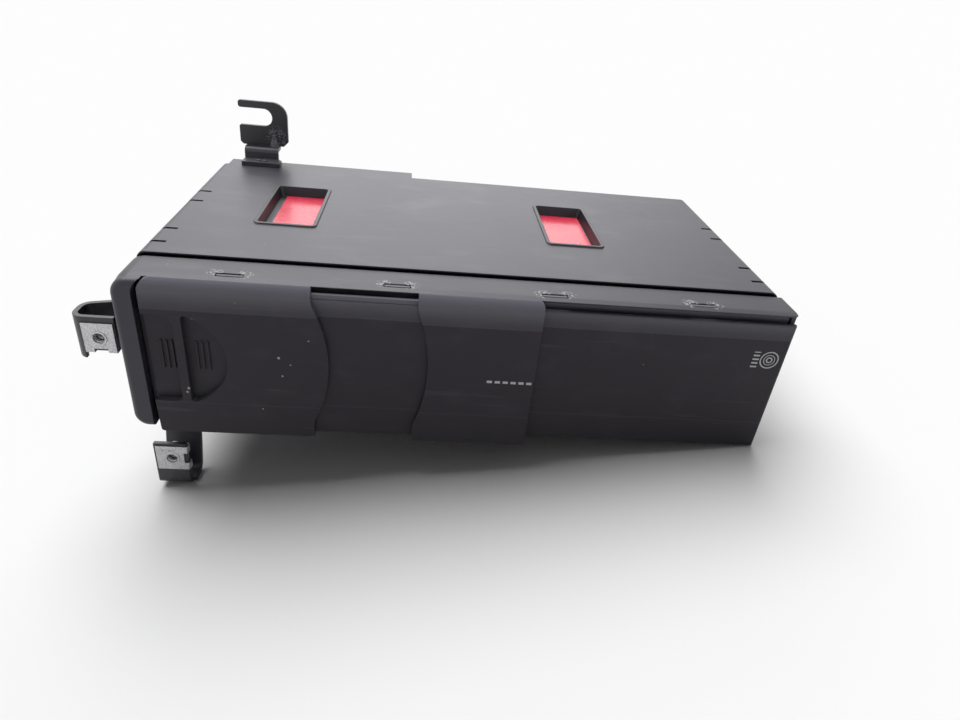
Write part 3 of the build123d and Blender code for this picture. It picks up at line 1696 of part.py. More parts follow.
def make_clamp_arm():
    """The arm over the disc: a hinged cross-bar, a tongue and the puck's ring."""
    x = hinge_x
    y = disc_centre_y
    half = clamp_span / 2
    bar_side = (x - clamp_bar_half, x + clamp_bar_half, y - half, y + half)
    bar = block(*bar_side, clamp_foot, clamp_foot + clamp_bar_thick)
    knuckle = bar_y(x, y - half, y + half, hinge_z, pin_radius + clamp_knuckle_wall)
    tongue_side = (spindle_x, x, y - clamp_arm_width / 2, y + clamp_arm_width / 2)
    tongue = block(*tongue_side, clamp_foot, clamp_top)
    ring = bar_z(spindle_x, y, clamp_foot, clamp_top, clamp_ring)
    arm = bar + knuckle + tongue + ring
    arm -= bar_y(x, y - half - overrun, y + half + overrun, hinge_z, pin_radius + seat_gap)
    return arm - bar_z(spindle_x, y, clamp_foot - overrun, clamp_top + overrun, puck_neck + loose_gap)


def make_clamp_pin():
    """The clamp arm's hinge pin."""
    y0, y1 = lug_places()
    return bar_y(hinge_x, y0 - clamp_pin_stand, y1 + lug_thick + clamp_pin_stand, hinge_z, pin_radius)


def make_clamp_puck():
    """The free-turning puck that presses a disc on the turntable."""
    place = (spindle_x, disc_centre_y)
    foot = clamp_foot - loose_gap - puck_thick
    cap_foot = clamp_top + loose_gap
    plate = bar_z(*place, foot, foot + puck_thick, puck_radius)
    neck = bar_z(*place, foot + puck_thick, cap_foot, puck_neck)
    cap = bar_z(*place, cap_foot, cap_foot + puck_cap_thick, puck_cap)
    cap = fillet(cap.edges().group_by(Axis.Z)[-1], puck_cap_thick * 0.4)
    return plate + neck + cap


# Brackets

hook_right = hook_left + hook_width
hook_plate_right = hook_plate_left + hook_plate_width
hook_ledge = lid_top + hook_rise
hook_top = hook_ledge + hook_plate_height
hook_back = bump_rear + hook_reach
hook_slot_foot = hook_ledge + hook_slot_rise
hook_slot_top = hook_slot_foot + hook_slot_height
hook_slot_end = hook_plate_left + hook_slot_depth
hook_foot_front = bump_rear - strap - hook_foot_length
side_plate_left = -side_reach
side_plate_right = side_plate_left + side_plate_width
side_bend_y = side_plate_front + strap + side_bend_depth
side_wall_y = side_bend_y + side_slant
side_nut_x = side_plate_right - side_nut_inset
side_nut_foot = side_foot + side_nut_seat
side_nut_z = side_nut_foot - nut_sheet + nut_reach
foot_bend_y = foot_plate_front + strap + foot_bend_depth
foot_flat_y = foot_bend_y + foot_slant
foot_nut_edge = foot_left + foot_plate_width + nut_sheet
foot_nut_x = foot_nut_edge - nut_reach
foot_nut_z = (foot_plate_top + foot_plate_bottom) / 2 + foot_nut_lift


def side_bracket_holes():
    """Where the side bracket's screws enter the lid's left wall."""
    first = side_wall_y + side_screw_inset
    return [(0.0, y, side_foot + side_height / 2) for y in (first, first + side_screw_pitch)]


def foot_bracket_holes():
    """Where the foot bracket's screws enter the casing's floor."""
    first = foot_flat_y + foot_screw_inset
    return [(foot_left + foot_width / 2, y, tray_floor) for y in (first, first + foot_screw_pitch)]


def hook_rivet_places():
    """Where the hook bracket's rivets stand on the lid."""
    middle = (hook_left + hook_right + hook_flare) / 2
    y = (hook_foot_front + bump_rear - strap) / 2 - rivet_shift
    return [(middle - rivet_half_pitch, y), (middle + rivet_half_pitch, y)]


def hook_strip():
    """The hook bracket's stepped strap, from its foot on the lid to the plate's foot."""
    foot = lid_top
    path = outline(
        (hook_foot_front, foot),
        (hook_foot_front, foot + strap),
        (bump_rear - strap, foot + strap),
        (bump_rear - strap, hook_ledge),
        (hook_back - strap, hook_ledge),
        (hook_back - strap, hook_ledge + 2 * strap),
        (hook_back, hook_ledge + 2 * strap),
        (hook_back, hook_ledge - strap),
        (bump_rear, hook_ledge - strap),
        (bump_rear, foot),
    )
    bends = [corners_at(path, bump_rear - strap, hook_ledge), corners_at(path, hook_back, hook_ledge - strap)]
    strip = sheet_yz(fillet(bends, strap_bend), hook_left, hook_right)
    ear = rect(hook_left, hook_right + hook_flare, hook_foot_front, bump_rear - strap)
    ear = fillet(corners_at(ear, hook_right + hook_flare, hook_foot_front), hook_foot_corner)
    ear = chamfer(corners_at(ear, hook_right + hook_flare, bump_rear - strap), hook_flare * 0.9)
    return strip + sheet_xy(ear, foot, foot + strap)


def hook_plate():
    """The hook bracket's upright plate in X and Z, with its slot open to the left."""
    left = hook_plate_left
    right = hook_plate_right
    foot = hook_ledge - hook_plate_overlap
    plate = rect(left, right, foot, hook_top)
    plate = fillet(corners_at(plate, right, hook_top), hook_corner)
    plate = chamfer(corners_at(plate, right, foot), hook_chamfer)
    plate = chamfer(corners_at(plate, left, foot), hook_small_chamfer)
    radius = hook_slot_height / 2
    slot_middle = hook_slot_end - radius
    plate -= rect(left - overrun, slot_middle, hook_slot_foot, hook_slot_top)
    plate -= Pos(slot_middle, hook_slot_foot + radius) * Circle(radius)
    mouth = [corners_at(plate, left, z) for z in (hook_slot_foot, hook_slot_top, hook_top)]
    return fillet(mouth, hook_slot_round)


def make_hook_bracket():
    """The rear bracket: a foot on the lid, a stepped strap and an upright plate with an open slot."""
    bracket = hook_strip() + sheet_xz(hook_plate(), hook_back - strap, hook_back)
    face = hook_back - strap
    dart = Pos(0, 0, gusset_height / 2) * Cone(gusset_radius, gusset_tip, gusset_height)
    beyond = 2 * gusset_radius
    dart -= block(-beyond, beyond, bite, beyond, -overrun, gusset_height + overrun)
    bracket += Pos(hook_right - gusset_inset, face, hook_ledge - bite) * dart
    for x, y in hook_rivet_places():
        bracket -= bar_z(x, y, lid_top - overrun, lid_top + strap + overrun, rivet_shank + fit_gap)
    return bracket


def make_hook_rivets():
    """The dome-headed rivets through the hook bracket's foot and the lid."""
    rivets = []
    seat = lid_top + strap
    inside = lid_top - sheet
    for x, y in hook_rivet_places():
        head = bar_z(x, y, seat, seat + rivet_head_height, rivet_head)
        head = fillet(head.edges().group_by(Axis.Z)[-1], rivet_round)
        tail = bar_z(x, y, inside - rivet_tail_height, inside, rivet_tail)
        rivets.append(head + tail + bar_z(x, y, inside, seat, rivet_shank))
    return rivets


def strap_from(points, radii, side):
    """A strap's cross-section: a bent line given its thickness on one side."""
    line = FilletPolyline(*points, radius=radii)
    return make_face(offset(line, amount=strap, side=side))


def make_side_bracket():
    """The strap on the casing's left wall, bent round to a nut plate that faces the front."""
    face_rear = side_plate_front + strap
    points = (
        (side_plate_right, face_rear),
        (side_plate_left + strap, face_rear),
        (side_plate_left + strap, side_bend_y),
        (0, side_wall_y),
        (0, side_wall_y + side_foot_length),
    )
    section = strap_from(points, (side_bow, side_turn, side_bend + strap), Side.LEFT)
    bracket = sheet_xy(section, side_foot, side_foot + side_height)
    seat_left = side_nut_x - nut_width / 2 - nut_overhang
    seat = (side_plate_front - overrun, face_rear + overrun, side_foot - overrun, side_nut_foot)
    bracket -= block(seat_left, side_plate_right + overrun, *seat)
    for x, y, z in side_bracket_holes():
        bracket -= bar_x(x - strap - overrun, x + overrun, y, z, screw_hole)
    through = (side_plate_front - overrun, face_rear + overrun)
    return bracket - bar_y(side_nut_x, *through, side_nut_z, plate_hole)


def make_foot_bracket():
    """The strap under the casing, bent down and round to a nut plate that faces the front."""
    face_rear = foot_plate_front + strap
    foot = foot_plate_bottom + strap
    points = (
        (face_rear, foot_plate_top),
        (face_rear, foot),
        (foot_bend_y, foot),
        (foot_flat_y, tray_floor),
        (foot_flat_y + foot_flat, tray_floor),
    )
    section = strap_from(points, (foot_bend, strap_bend, strap_bend + strap), Side.RIGHT)
    bracket = sheet_yz(section, foot_left, foot_left + foot_width)
    beside = (foot_left + foot_plate_width, foot_left + foot_width + overrun)
    bracket -= block(*beside, foot_plate_front - overrun, face_rear + foot_bend, foot - strap - overrun, 0)
    for x, y, z in foot_bracket_holes():
        bracket -= bar_z(x, y, z - strap - overrun, z + overrun, screw_hole)
    through = (foot_plate_front - overrun, face_rear + overrun)
    return bracket - bar_y(foot_nut_x, *through, foot_nut_z, plate_hole)


def make_side_bracket_screws():
    """The screws through the side bracket's foot."""
    return [pan_screw((x - strap, y, z), (1, 0, 0)) for x, y, z in side_bracket_holes()]


def make_foot_bracket_screws():
    """The screws through the foot bracket's flat."""
    return [pan_screw((x, y, z - strap), (0, 0, 1)) for x, y, z in foot_bracket_holes()]


def sheet_nut():
    """A folded sheet nut in its own frame: its fold at Z 0, open upwards, its bore along Y."""
    inner = strap / 2 + sheet_gap / 2
    outer = inner + nut_sheet
    half = nut_width / 2
    legs = block(-half, half, -outer, outer, 0, nut_length)
    legs = fillet(legs.edges().filter_by(Axis.X).group_by(Axis.Z)[0], nut_sheet)
    body = legs - block(-half - overrun, half + overrun, -inner, inner, nut_sheet, nut_length + overrun)
    body += bar_y(0, inner, inner + nut_collar_length, nut_reach, nut_collar)
    body += bar_y(0, -outer - nut_ring_height, -inner, nut_reach, nut_bore + nut_ring_wall)
    notch = (-nut_notch / 2, nut_notch / 2, -outer - overrun, outer + overrun)
    body -= block(*notch, -overrun, nut_sheet + nut_notch_depth)
    return body - bar_y(0, -outer - 2 * overrun, inner + nut_collar_length + overrun, nut_reach, nut_bore)


def make_side_nut():
    """The sheet nut slid on the side bracket's plate from below."""
    return Pos(side_nut_x, side_plate_front + strap / 2, side_nut_foot - nut_sheet) * sheet_nut()


def make_foot_nut():
    """The sheet nut slid on the foot bracket's plate from the right."""
    return Pos(foot_nut_edge, foot_plate_front + strap / 2, foot_nut_z) * Rot(0, -90, 0) * sheet_nut()


# The whole changer

def all_pieces():
    """Every named piece of the changer, at rest with the door closed and the lift down."""
    pieces = {
        "bottom_case": make_bottom_case(),
        "top_cover": make_top_cover(),
        "left_window_label": make_window_label(0),
        "right_window_label": make_window_label(1),
        "case_screws": make_case_screws(),
        "front_frame": make_front_frame(),
        "frame_screws": make_frame_screws(),
        "front_panel": make_front_panel(),
        "door_carrier": make_door_carrier(),
        "grip_cover": make_grip_cover(),
        "outer_leaf": make_outer_leaf(),
        "eject_button": make_eject_button(),
        "magazine_case": make_magazine_case(),
        "magazine_cover": make_magazine_cover(),
        "magazine_bay": make_bay(),
        "bay_rails": make_bay_rails(),
        "main_board": make_main_board(),
        "board_posts": make_board_posts(),
        "board_chips": make_board_chips(),
        "rear_socket": make_rear_socket(),
        "socket_pins": make_socket_pins(),
        "deck_frame": make_deck_frame(),
        "deck_dampers": make_deck_dampers(),
        "lift_posts": make_lift_posts(),
        "cam_guide_pins": make_guide_pins(),
        "front_cam": make_cam(*front_cam),
        "rear_cam": make_cam(*rear_cam),
        "cam_link": make_cam_link(),
        "lift_nut": make_lift_nut(),
        "lift_motor": make_lift_motor(),
        "lift_screw": make_lift_screw(),
        "lift_carriage": make_lift_carriage(),
        "spindle_motor": make_spindle_motor(),
        "turntable": make_turntable(),
        "sled_rods": make_sled_rods(),
        "pickup_body": make_pickup(),
        "pickup_lens": make_pickup_lens(),
        "feed_motor": make_feed_motor(),
        "feed_screw": make_feed_screw(),
        "clamp_arm": make_clamp_arm(),
        "clamp_pin": make_clamp_pin(),
        "clamp_puck": make_clamp_puck(),
        "hook_bracket": make_hook_bracket(),
        "hook_rivets": make_hook_rivets(),
        "side_bracket": make_side_bracket(),
        "side_bracket_screws": make_side_bracket_screws(),
        "side_sheet_nut": make_side_nut(),
        "foot_bracket": make_foot_bracket(),
        "foot_bracket_screws": make_foot_bracket_screws(),
        "foot_sheet_nut": make_foot_nut(),
    }
    for index in range(tray_count):
        pieces[f"magazine_tray_{index + 1}"] = make_magazine_tray(index)
    return pieces


def as_solids(piece):
    """A piece's solids in a plain list."""
    if isinstance(piece, list):
        return [solid for part in piece for solid in part.solids()]
    return list(piece.solids())


pieces = {name: as_solids(piece) for name, piece in all_pieces().items()}
whole_box = Compound([solid for solids in pieces.values() for solid in solids]).bounding_box()
origin_shift = (-whole_box.center().X, -whole_box.center().Y, -whole_box.min.Z)

os.makedirs("parts", exist_ok=True)
for name, solids in pieces.items():
    placed = [Pos(*origin_shift) * solid for solid in solids]
    export_step(placed[0] if len(placed) == 1 else Compound(placed), f"parts/{name}.step")

print("origin shift", [round(value, 4) for value in origin_shift])
print("outer leaf travel", round(outer_travel, 3), "grip travel", round(grip_travel, 3))
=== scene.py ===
"""Dresses a packed car disc changer: finishes, soft edges, threads, ribs, prints and a stage."""

import json
import math

import bmesh
import bpy
from bpy.props import FloatProperty, FloatVectorProperty, IntProperty, PointerProperty
from mathutils import Matrix, Vector

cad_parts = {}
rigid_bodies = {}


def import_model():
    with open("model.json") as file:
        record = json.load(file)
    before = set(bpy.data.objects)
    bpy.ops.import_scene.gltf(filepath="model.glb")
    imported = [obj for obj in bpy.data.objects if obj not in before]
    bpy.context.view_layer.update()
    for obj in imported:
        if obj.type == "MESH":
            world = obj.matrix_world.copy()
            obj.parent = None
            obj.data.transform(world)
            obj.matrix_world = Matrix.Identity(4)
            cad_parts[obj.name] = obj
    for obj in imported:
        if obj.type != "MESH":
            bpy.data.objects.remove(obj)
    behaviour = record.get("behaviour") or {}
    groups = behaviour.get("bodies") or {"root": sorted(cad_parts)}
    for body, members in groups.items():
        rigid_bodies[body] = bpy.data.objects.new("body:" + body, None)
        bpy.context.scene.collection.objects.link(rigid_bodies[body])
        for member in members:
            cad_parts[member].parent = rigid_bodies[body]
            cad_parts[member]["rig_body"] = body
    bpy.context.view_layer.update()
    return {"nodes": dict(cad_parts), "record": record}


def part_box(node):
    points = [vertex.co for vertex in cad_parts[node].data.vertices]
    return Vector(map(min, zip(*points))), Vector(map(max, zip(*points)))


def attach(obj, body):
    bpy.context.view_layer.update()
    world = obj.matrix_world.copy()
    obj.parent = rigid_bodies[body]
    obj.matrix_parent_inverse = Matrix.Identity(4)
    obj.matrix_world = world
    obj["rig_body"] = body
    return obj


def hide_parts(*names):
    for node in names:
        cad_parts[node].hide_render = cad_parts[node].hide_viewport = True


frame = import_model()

bl_info = {
    "name": "Car Disc Changer",
    "version": (1, 0, 0),
    "blender": (4, 5, 0),
    "location": "View3D > Sidebar > Changer",
    "description": "Dresses a packed car disc changer in its finishes and small parts",
    "category": "Object",
}

# The lid's front left corner at the height of the door's foot, in the frame's millimetres
LID_CORNER = Vector((-113.3, -56.5, 34.0))


def place(x, y, z):
    """A point of the changer, given from the lid's front left corner in millimetres."""
    return (Vector((x, y, z)) + LID_CORNER) / 1000


def operator(operation, swapped=False):
    """A method that puts a Math node over a wire and what stands beside it."""
    def method(wire, other):
        values = (other, wire) if swapped else (wire, other)
        return wire.board.maths(operation, *values)
    return method


class Wire:
    """An output socket. Arithmetic on it adds Math nodes, with plain numbers on either side."""

    def __init__(self, board, socket):
        self.board = board
        self.socket = socket

    __add__ = operator("ADD")
    __radd__ = operator("ADD", swapped=True)
    __sub__ = operator("SUBTRACT")
    __rsub__ = operator("SUBTRACT", swapped=True)
    __mul__ = operator("MULTIPLY")
    __rmul__ = operator("MULTIPLY", swapped=True)
    __truediv__ = operator("DIVIDE")
    __pow__ = operator("POWER")
    __mod__ = operator("FLOORED_MODULO")
    __lt__ = operator("LESS_THAN")
    __gt__ = operator("GREATER_THAN")

    def __abs__(self):
        return self.board.maths("ABSOLUTE", self)

    def also(self, name):
        """Another output of the same node."""
        return Wire(self.board, self.socket.node.outputs[name])


class Board:
    """A node tree that is being wired up."""

    def __init__(self, tree):
        self.tree = tree

    def add(self, kind, settings=None, sockets=None, output=0):
        """A node of a type, with its settings made first and then its sockets filled or linked."""
        made = self.tree.nodes.new(kind)
        for name, value in (settings or {}).items():
            if name == "stops":
                for stop, (position, colour) in zip(made.color_ramp.elements, value):
                    stop.position = position
                    stop.color = colour
            else:
                setattr(made, name, value)
        for key, value in (sockets or {}).items():
            if isinstance(value, (Wire, list)):
                for wire in value if isinstance(value, list) else [value]:
                    self.tree.links.new(wire.socket, made.inputs[key])
            else:
                made.inputs[key].default_value = value
        return Wire(self, made.outputs[output]) if made.outputs else made

    def maths(self, operation, *values):
        """A Math node over wires or numbers."""
        return self.add("ShaderNodeMath", {"operation": operation}, dict(enumerate(values)))


class Finish(Board):
    """A material under construction, with the patterns that this changer's finishes share."""

    def __init__(self, name):
        self.material = bpy.data.materials.new(name)
        self.material.use_nodes = True
        super().__init__(self.material.node_tree)
        self.tree.nodes.clear()
        self.where = self.add("ShaderNodeTexCoord", output="Object")

    def moved(self, stretch=(1, 1, 1), turn=(0, 0, 0), shift=(0, 0, 0)):
        """Object coordinates, shifted, turned and stretched."""
        places = {"Vector": self.where, "Location": shift, "Rotation": turn, "Scale": stretch}
        return self.add("ShaderNodeMapping", {}, places)

    def grain(self, size, detail=2.0, roughness=0.5, **moves):
        """Soft noise from 0 to 1 with marks of about a size in metres."""
        sockets = {"Vector": self.moved(**moves), "Scale": 1 / size}
        sockets.update({"Detail": detail, "Roughness": roughness})
        return self.add("ShaderNodeTexNoise", {}, sockets)

    def cells(self, size, feature="F1", **moves):
        """Cell noise with cells of about a size in metres."""
        sockets = {"Vector": self.moved(**moves), "Scale": 1 / size}
        return self.add("ShaderNodeTexVoronoi", {"feature": feature}, sockets, "Distance")

    def ease(self, value, low, high, start=0.0):
        """An eased rise from a start to 1 as the value goes from low to high."""
        sockets = {"Value": value, "From Min": low, "From Max": high, "To Min": start}
        return self.add("ShaderNodeMapRange", {"interpolation_type": "SMOOTHSTEP"}, sockets)

    def flecks(self, spacing, radius, share, **moves):
        """A mask of small round flecks, on a share of the cells of a spacing."""
        near = self.cells(spacing, **moves)
        chance = self.add("ShaderNodeSeparateColor", {}, {0: near.also("Color")})
        return self.ease(near, radius / spacing, radius / spacing * 0.6) * (chance < share)

    def near(self, point, reach):
        """A mask that fades out with the distance from a point in metres."""
        ends = {0: self.where, 1: point}
        away = self.add("ShaderNodeVectorMath", {"operation": "DISTANCE"}, ends, "Value")
        return self.ease(away, reach, reach * 0.4)

    def scratches(self, size, turn, share=0.64, length=26):
        """Thin, long, broken scratches along one direction."""
        lines = self.grain(size, detail=2.5, stretch=(1, length, length), turn=turn)
        broken = self.grain(size * 0.3, detail=1.0, shift=(0.3, 0.7, 0.2))
        return self.ease(lines, share, share + 0.05) * self.ease(broken, 0.42, 0.6)

    def along(self):
        """The X, Y and Z of the object coordinates, in metres."""
        split = self.add("ShaderNodeSeparateXYZ", {}, {0: self.where})
        return split, split.also("Y"), split.also("Z")

    def upward(self, low, high):
        """A mask over the faces that look upwards, which take a painted sheen."""
        normal = self.add("ShaderNodeNewGeometry", output="Normal")
        return self.ease(self.add("ShaderNodeSeparateXYZ", {}, {0: normal}, output="Z"), low, high)

    def blend(self, mask, first, second):
        """Two colours mixed by a mask."""
        return self.add("ShaderNodeMix", {"data_type": "RGBA"}, {0: mask, 6: first, 7: second}, 2)

    def relief(self, height, depth, under=None):
        """Small relief of a depth in metres, from a height between 0 and 1."""
        sockets = {"Strength": 1.0, "Distance": depth, "Height": height}
        if under:
            sockets["Normal"] = under
        return self.add("ShaderNodeBump", {}, sockets, "Normal")

    def tone(self, name, factor=1.0):
        """A colour that a property sets, lightened or darkened by a factor."""
        colour = getattr(bpy.context.scene.changer_colours, name)
        return (*(min(1.0, part * factor) for part in colour), 1.0)

    def close(self, colour, roughness, normal=None, metallic=0.0, **constants):
        """Ends the tree in a Principled shader and returns the material."""
        sockets = {"Base Color": colour, "Roughness": roughness, "Metallic": metallic}
        if normal:
            sockets["Normal"] = normal
        sockets.update({name.replace("_", " "): value for name, value in constants.items()})
        shader = self.add("ShaderNodeBsdfPrincipled", {}, sockets)
        self.add("ShaderNodeOutputMaterial", {}, {"Surface": shader})
        return self.material


# Finishes

# The tint of the reflections in the dark paint and plastic
COOL = (0.9, 0.9, 1.0, 1.0)

# The two tones that a finish wavers between, where no property sets them
TONES = {
    "magazine": ((0.032, 0.032, 0.035, 1), (0.052, 0.051, 0.054, 1)),
    "plated": ((0.46, 0.47, 0.48, 1), (0.63, 0.63, 0.62, 1)),
    "acetal": ((0.72, 0.71, 0.66, 1), (0.82, 0.81, 0.77, 1)),
    "rod": ((0.6, 0.59, 0.56, 1), (0.74, 0.74, 0.73, 1)),
    "motor": ((0.48, 0.47, 0.45, 1), (0.62, 0.61, 0.59, 1)),
    "board": ((0.016, 0.1, 0.035, 1), (0.035, 0.2, 0.07, 1)),
    "chip": ((0.018, 0.018, 0.019, 1), (0.035, 0.034, 0.034, 1)),
    "socket": ((0.035, 0.035, 0.036, 1), (0.06, 0.058, 0.056, 1)),
    "pin": ((0.68, 0.66, 0.6, 1), (0.72, 0.55, 0.26, 1)),
    "rubber": ((0.016, 0.016, 0.016, 1), (0.05, 0.05, 0.048, 1)),
    "lens": ((0.5, 0.56, 0.75, 1), (0.6, 0.52, 0.78, 1)),
}

# Colours of wear and dirt, of painted sheen and glints, and of what lies under a finish
PAN_BLACK = (0.012, 0.011, 0.013, 1)
LEANING_SHEEN = (0.2, 0.195, 0.225, 1)
UPWARD_SHEEN = (0.16, 0.155, 0.19, 1)
WORN_COAT = (0.16, 0.15, 0.145, 1)
FOOT_PAINT = (0.085, 0.08, 0.095, 1)
DART_GLINT = (0.4, 0.39, 0.45, 1)
SLIDE_RUB = (0.16, 0.16, 0.16, 1)
SHEET_MARK = (0.3, 0.29, 0.27, 1)
GREASE = (0.42, 0.38, 0.3, 1)
THUMB_MARK = (0.34, 0.32, 0.29, 1)
GROUND_FILL = (0.012, 0.07, 0.03, 1)
SOLDER = (0.62, 0.6, 0.56, 1)


def paint_finish():
    """Satin black paint over folded steel: orange peel, faint rubs, thin scratches and dust."""
    f = Finish("casing_satin_paint")
    cloud = f.grain(0.045, detail=3)
    mottle = f.grain(0.006, detail=4, shift=(0.1, 0.4, 0.2))
    rubs = f.ease(f.grain(0.03, detail=5, stretch=(1, 2.2, 1), shift=(0.5, 0.1, 0)), 0.52, 0.75)
    lines = f.scratches(0.09, (0, 0, 0.5)) + f.scratches(0.12, (0, 0, -1.1), 0.66)
    dust = f.flecks(0.005, 0.00022, 0.1) + f.flecks(0.0026, 0.00009, 0.16, shift=(0.2, 0, 0.1))
    patches = cloud * 0.6 + mottle * 0.4
    paint = f.blend(patches, f.tone("paint", 0.78), f.tone("paint", 1.22))
    paint = f.blend(rubs * 0.16 + lines * 0.14, paint, f.tone("paint", 2.4))
    paint = f.blend(dust * 0.6, paint, f.tone("dust"))
    paint = f.blend(window_pans(f) * 0.9, paint, PAN_BLACK)
    rough = 0.32 + 0.08 * cloud + 0.05 * mottle - 0.04 * rubs + 0.3 * dust
    peel = f.relief(f.grain(0.0011, detail=2), 0.00001)
    relief = f.relief(lines, -0.00001, peel)
    return f.close(paint, rough, relief, Specular_IOR_Level=0.5, Specular_Tint=COOL)


# In millimetres: the lid's level, its windows' middles, half sizes with their rims and depth,
# and what still counts as level with the lid
LID_TOP = 64.7
WINDOW_MIDDLES = ((47.2, 61.75), (172.3, 61.75))
WINDOW_HALF = (13.3, 26.5)
WINDOW_DEPTH = 4.4
LEVEL_SLACK = 0.12


def window_pans(f):
    """A mask over the walls and rims of the lid's two windows, which are darker."""
    x, y, z = f.along()
    level = place(0, 0, LID_TOP).z
    sizes = (*WINDOW_HALF, WINDOW_DEPTH, LEVEL_SLACK)
    half_x, half_y, depth, slack = (size / 1000 for size in sizes)
    off_lid = (z > level + slack) + (z < level - slack) * (z > level - depth)
    spans = 0.0
    for middle in WINDOW_MIDDLES:
        centre = place(*middle, LID_TOP)
        spans = (abs(x - centre.x) < half_x) * (abs(y - centre.y) < half_y) + spans
    return off_lid * spans


# The band's snap windows, in millimetres: their middles, half the way between the two corners
# that catch lint, and those corners' depth and height
SNAP_MIDDLES = (37.0, 96.5, 155.5, 213.5)
SNAP_HALF = 4.9
SNAP_LINE = (-12.5, 63.6)


def frame_finish():
    """Fine-grained black plastic of the front frame, with dust caught in its snap windows."""
    f = Finish("frame_grained_plastic")
    tooth = f.cells(0.00042, "SMOOTH_F1")
    fine = f.grain(0.00016, detail=1, shift=(0.2, 0.2, 0))
    cloud = f.grain(0.03, detail=3)
    rubs = f.ease(f.grain(0.02, detail=5, stretch=(0.6, 2, 2)), 0.55, 0.78)
    colour = f.blend(cloud, f.tone("plastic", 0.85), f.tone("plastic", 1.2))
    colour = f.blend(rubs * 0.2, colour, f.tone("plastic", 2.4))
    caught = 0.0
    for x in SNAP_MIDDLES:
        for side in (-SNAP_HALF, SNAP_HALF):
            caught = f.near(place(x + side, *SNAP_LINE), 0.0042) + caught
    lint = f.ease(f.grain(0.0011, detail=4, roughness=0.7), 0.53, 0.57) * caught
    stray = f.flecks(0.004, 0.0002, 0.2)
    colour = f.blend((lint + stray) * 0.85, colour, f.tone("dust"))
    rough = 0.38 + 0.1 * cloud - 0.08 * rubs + 0.3 * lint
    grain = f.relief(tooth * 0.7 + fine * 0.3, 0.00002)
    return f.close(colour, rough, grain, Specular_IOR_Level=0.5, Specular_Tint=COOL)


# Pale spots on the grip cover, partly flecks of paint and lint, partly painted glints near its
# recesses' lower corners: x, z and radius, in millimetres
GRIP_FLECKS_AND_GLINTS = (
    (54.2, 35.0, 0.34), (58.4, 32.2, 0.22), (55.2, 27.1, 0.24), (65.3, 42.9, 0.2),
    (14.6, 42.4, 0.3), (24.6, 49.0, 0.3), (20.3, 19.6, 0.36), (19.6, 17.9, 0.3),
    (26.0, 17.4, 0.34), (27.1, 39.2, 0.24), (40.2, 56.8, 0.2), (47.0, 11.4, 0.2),
)

# Heights of the door's two creases and of the top of its leaning part, in millimetres
DOOR_CREASES = (13.0, 52.5)
DOOR_TOP = 64.0


def door_finish(name="door_grained_plastic", flecks=(), prints=None):
    """The door's black plastic: fine grain, handling shine, hairline scratches and flecks, with a
    painted sheen on its leaning top and upward faces and painted highlights along its creases.
    """
    f = Finish(name)
    tooth = f.cells(0.0005, "SMOOTH_F1")
    fine = f.grain(0.0002, detail=1, shift=(0.3, 0.1, 0))
    cloud = f.grain(0.04, detail=3, shift=(0.7, 0.2, 0.1))
    shine = f.ease(f.grain(0.016, detail=4, stretch=(1, 1, 1.7)), 0.5, 0.76)
    lines = f.scratches(0.05, (0, 0.35, 0), 0.66) + f.scratches(0.08, (0, 1.9, 0), 0.68)
    colour = f.blend(cloud, f.tone("door", 0.86), f.tone("door", 1.16))
    colour = f.blend(shine * 0.12 + lines * 0.3, colour, f.tone("door", 2.6))
    # Painted sheen: the leaning top above the upper crease grows lighter upwards, for the light
    # from above that it catches
    height = f.along()[2]
    lean = DOOR_CREASES[1]
    start, end = place(0, 0, lean - 0.2).z, place(0, 0, DOOR_TOP).z
    painted_lean_sheen = f.ease(height, start, end, 0.2) * (height > place(0, 0, lean).z)
    colour = f.blend(painted_lean_sheen * 0.8, colour, LEANING_SHEEN)
    # Painted sheen on the faces that look upwards, such as the recesses' lower ledges, for the
    # light from above
    colour = f.blend(f.upward(0.3, 0.8) * 0.8, colour, UPWARD_SHEEN)
    # Painted highlights: thin pale lines along the door's two creases, where light catches the
    # bends
    for crease in DOOR_CREASES:
        line = f.ease(abs(height - place(0, 0, crease).z), 0.0005, 0.0001)
        colour = f.blend(line * 0.16, colour, f.tone("door", 3.5))
    pale = f.flecks(0.007, 0.00018, 0.14, shift=(0.2, 0.4, 0.1))
    pale = pale + f.flecks(0.012, 0.0003, 0.1, shift=(0.5, 0.1, 0.3))
    # Pale spots given for the grip: flecks of lint and paint, and painted glints
    for x, z, radius in flecks:
        spot = place(x, 0, z)
        spot.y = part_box("grip_cover")[0].y
        pale = f.near(spot, 2 * radius / 1000) + pale
    colour = f.blend(pale * 0.7, colour, f.tone("dust"))
    rough = 0.5 + 0.1 * cloud - 0.1 * shine + 0.2 * pale
    if prints:
        ink = prints(f)
        colour = f.blend(ink * 0.82, colour, f.tone("print"))
        rough = rough - ink * 0.1
    grain = f.relief(tooth * 0.7 + fine * 0.3, 0.000025)
    relief = f.relief(lines, -0.00001, grain)
    return f.close(colour, rough, relief, Specular_IOR_Level=0.25, Specular_Tint=COOL)


# How far back the prints on the outer leaf and on the fixed panel reach, in millimetres
LEAF_PRINT_BACK = -21.0
PANEL_PRINT_BACK = -17.6


def feature_dashes(f):
    """Short pale dashes in a row on the outer leaf."""
    x, y, z = f.along()
    marks = bpy.context.scene.changer_marks
    start = place(marks.dash_start, 0, marks.dash_height)
    pitch = marks.dash_pitch / 1000
    run = x - start.x
    inside = (run > 0.0) * (run < pitch * marks.dash_count)
    dash = (run % pitch) < pitch * marks.dash_share
    row = abs(z - start.z) < marks.dash_thick / 2000
    front = y < place(0, LEAF_PRINT_BACK, 0).y
    return dash * row * inside * front


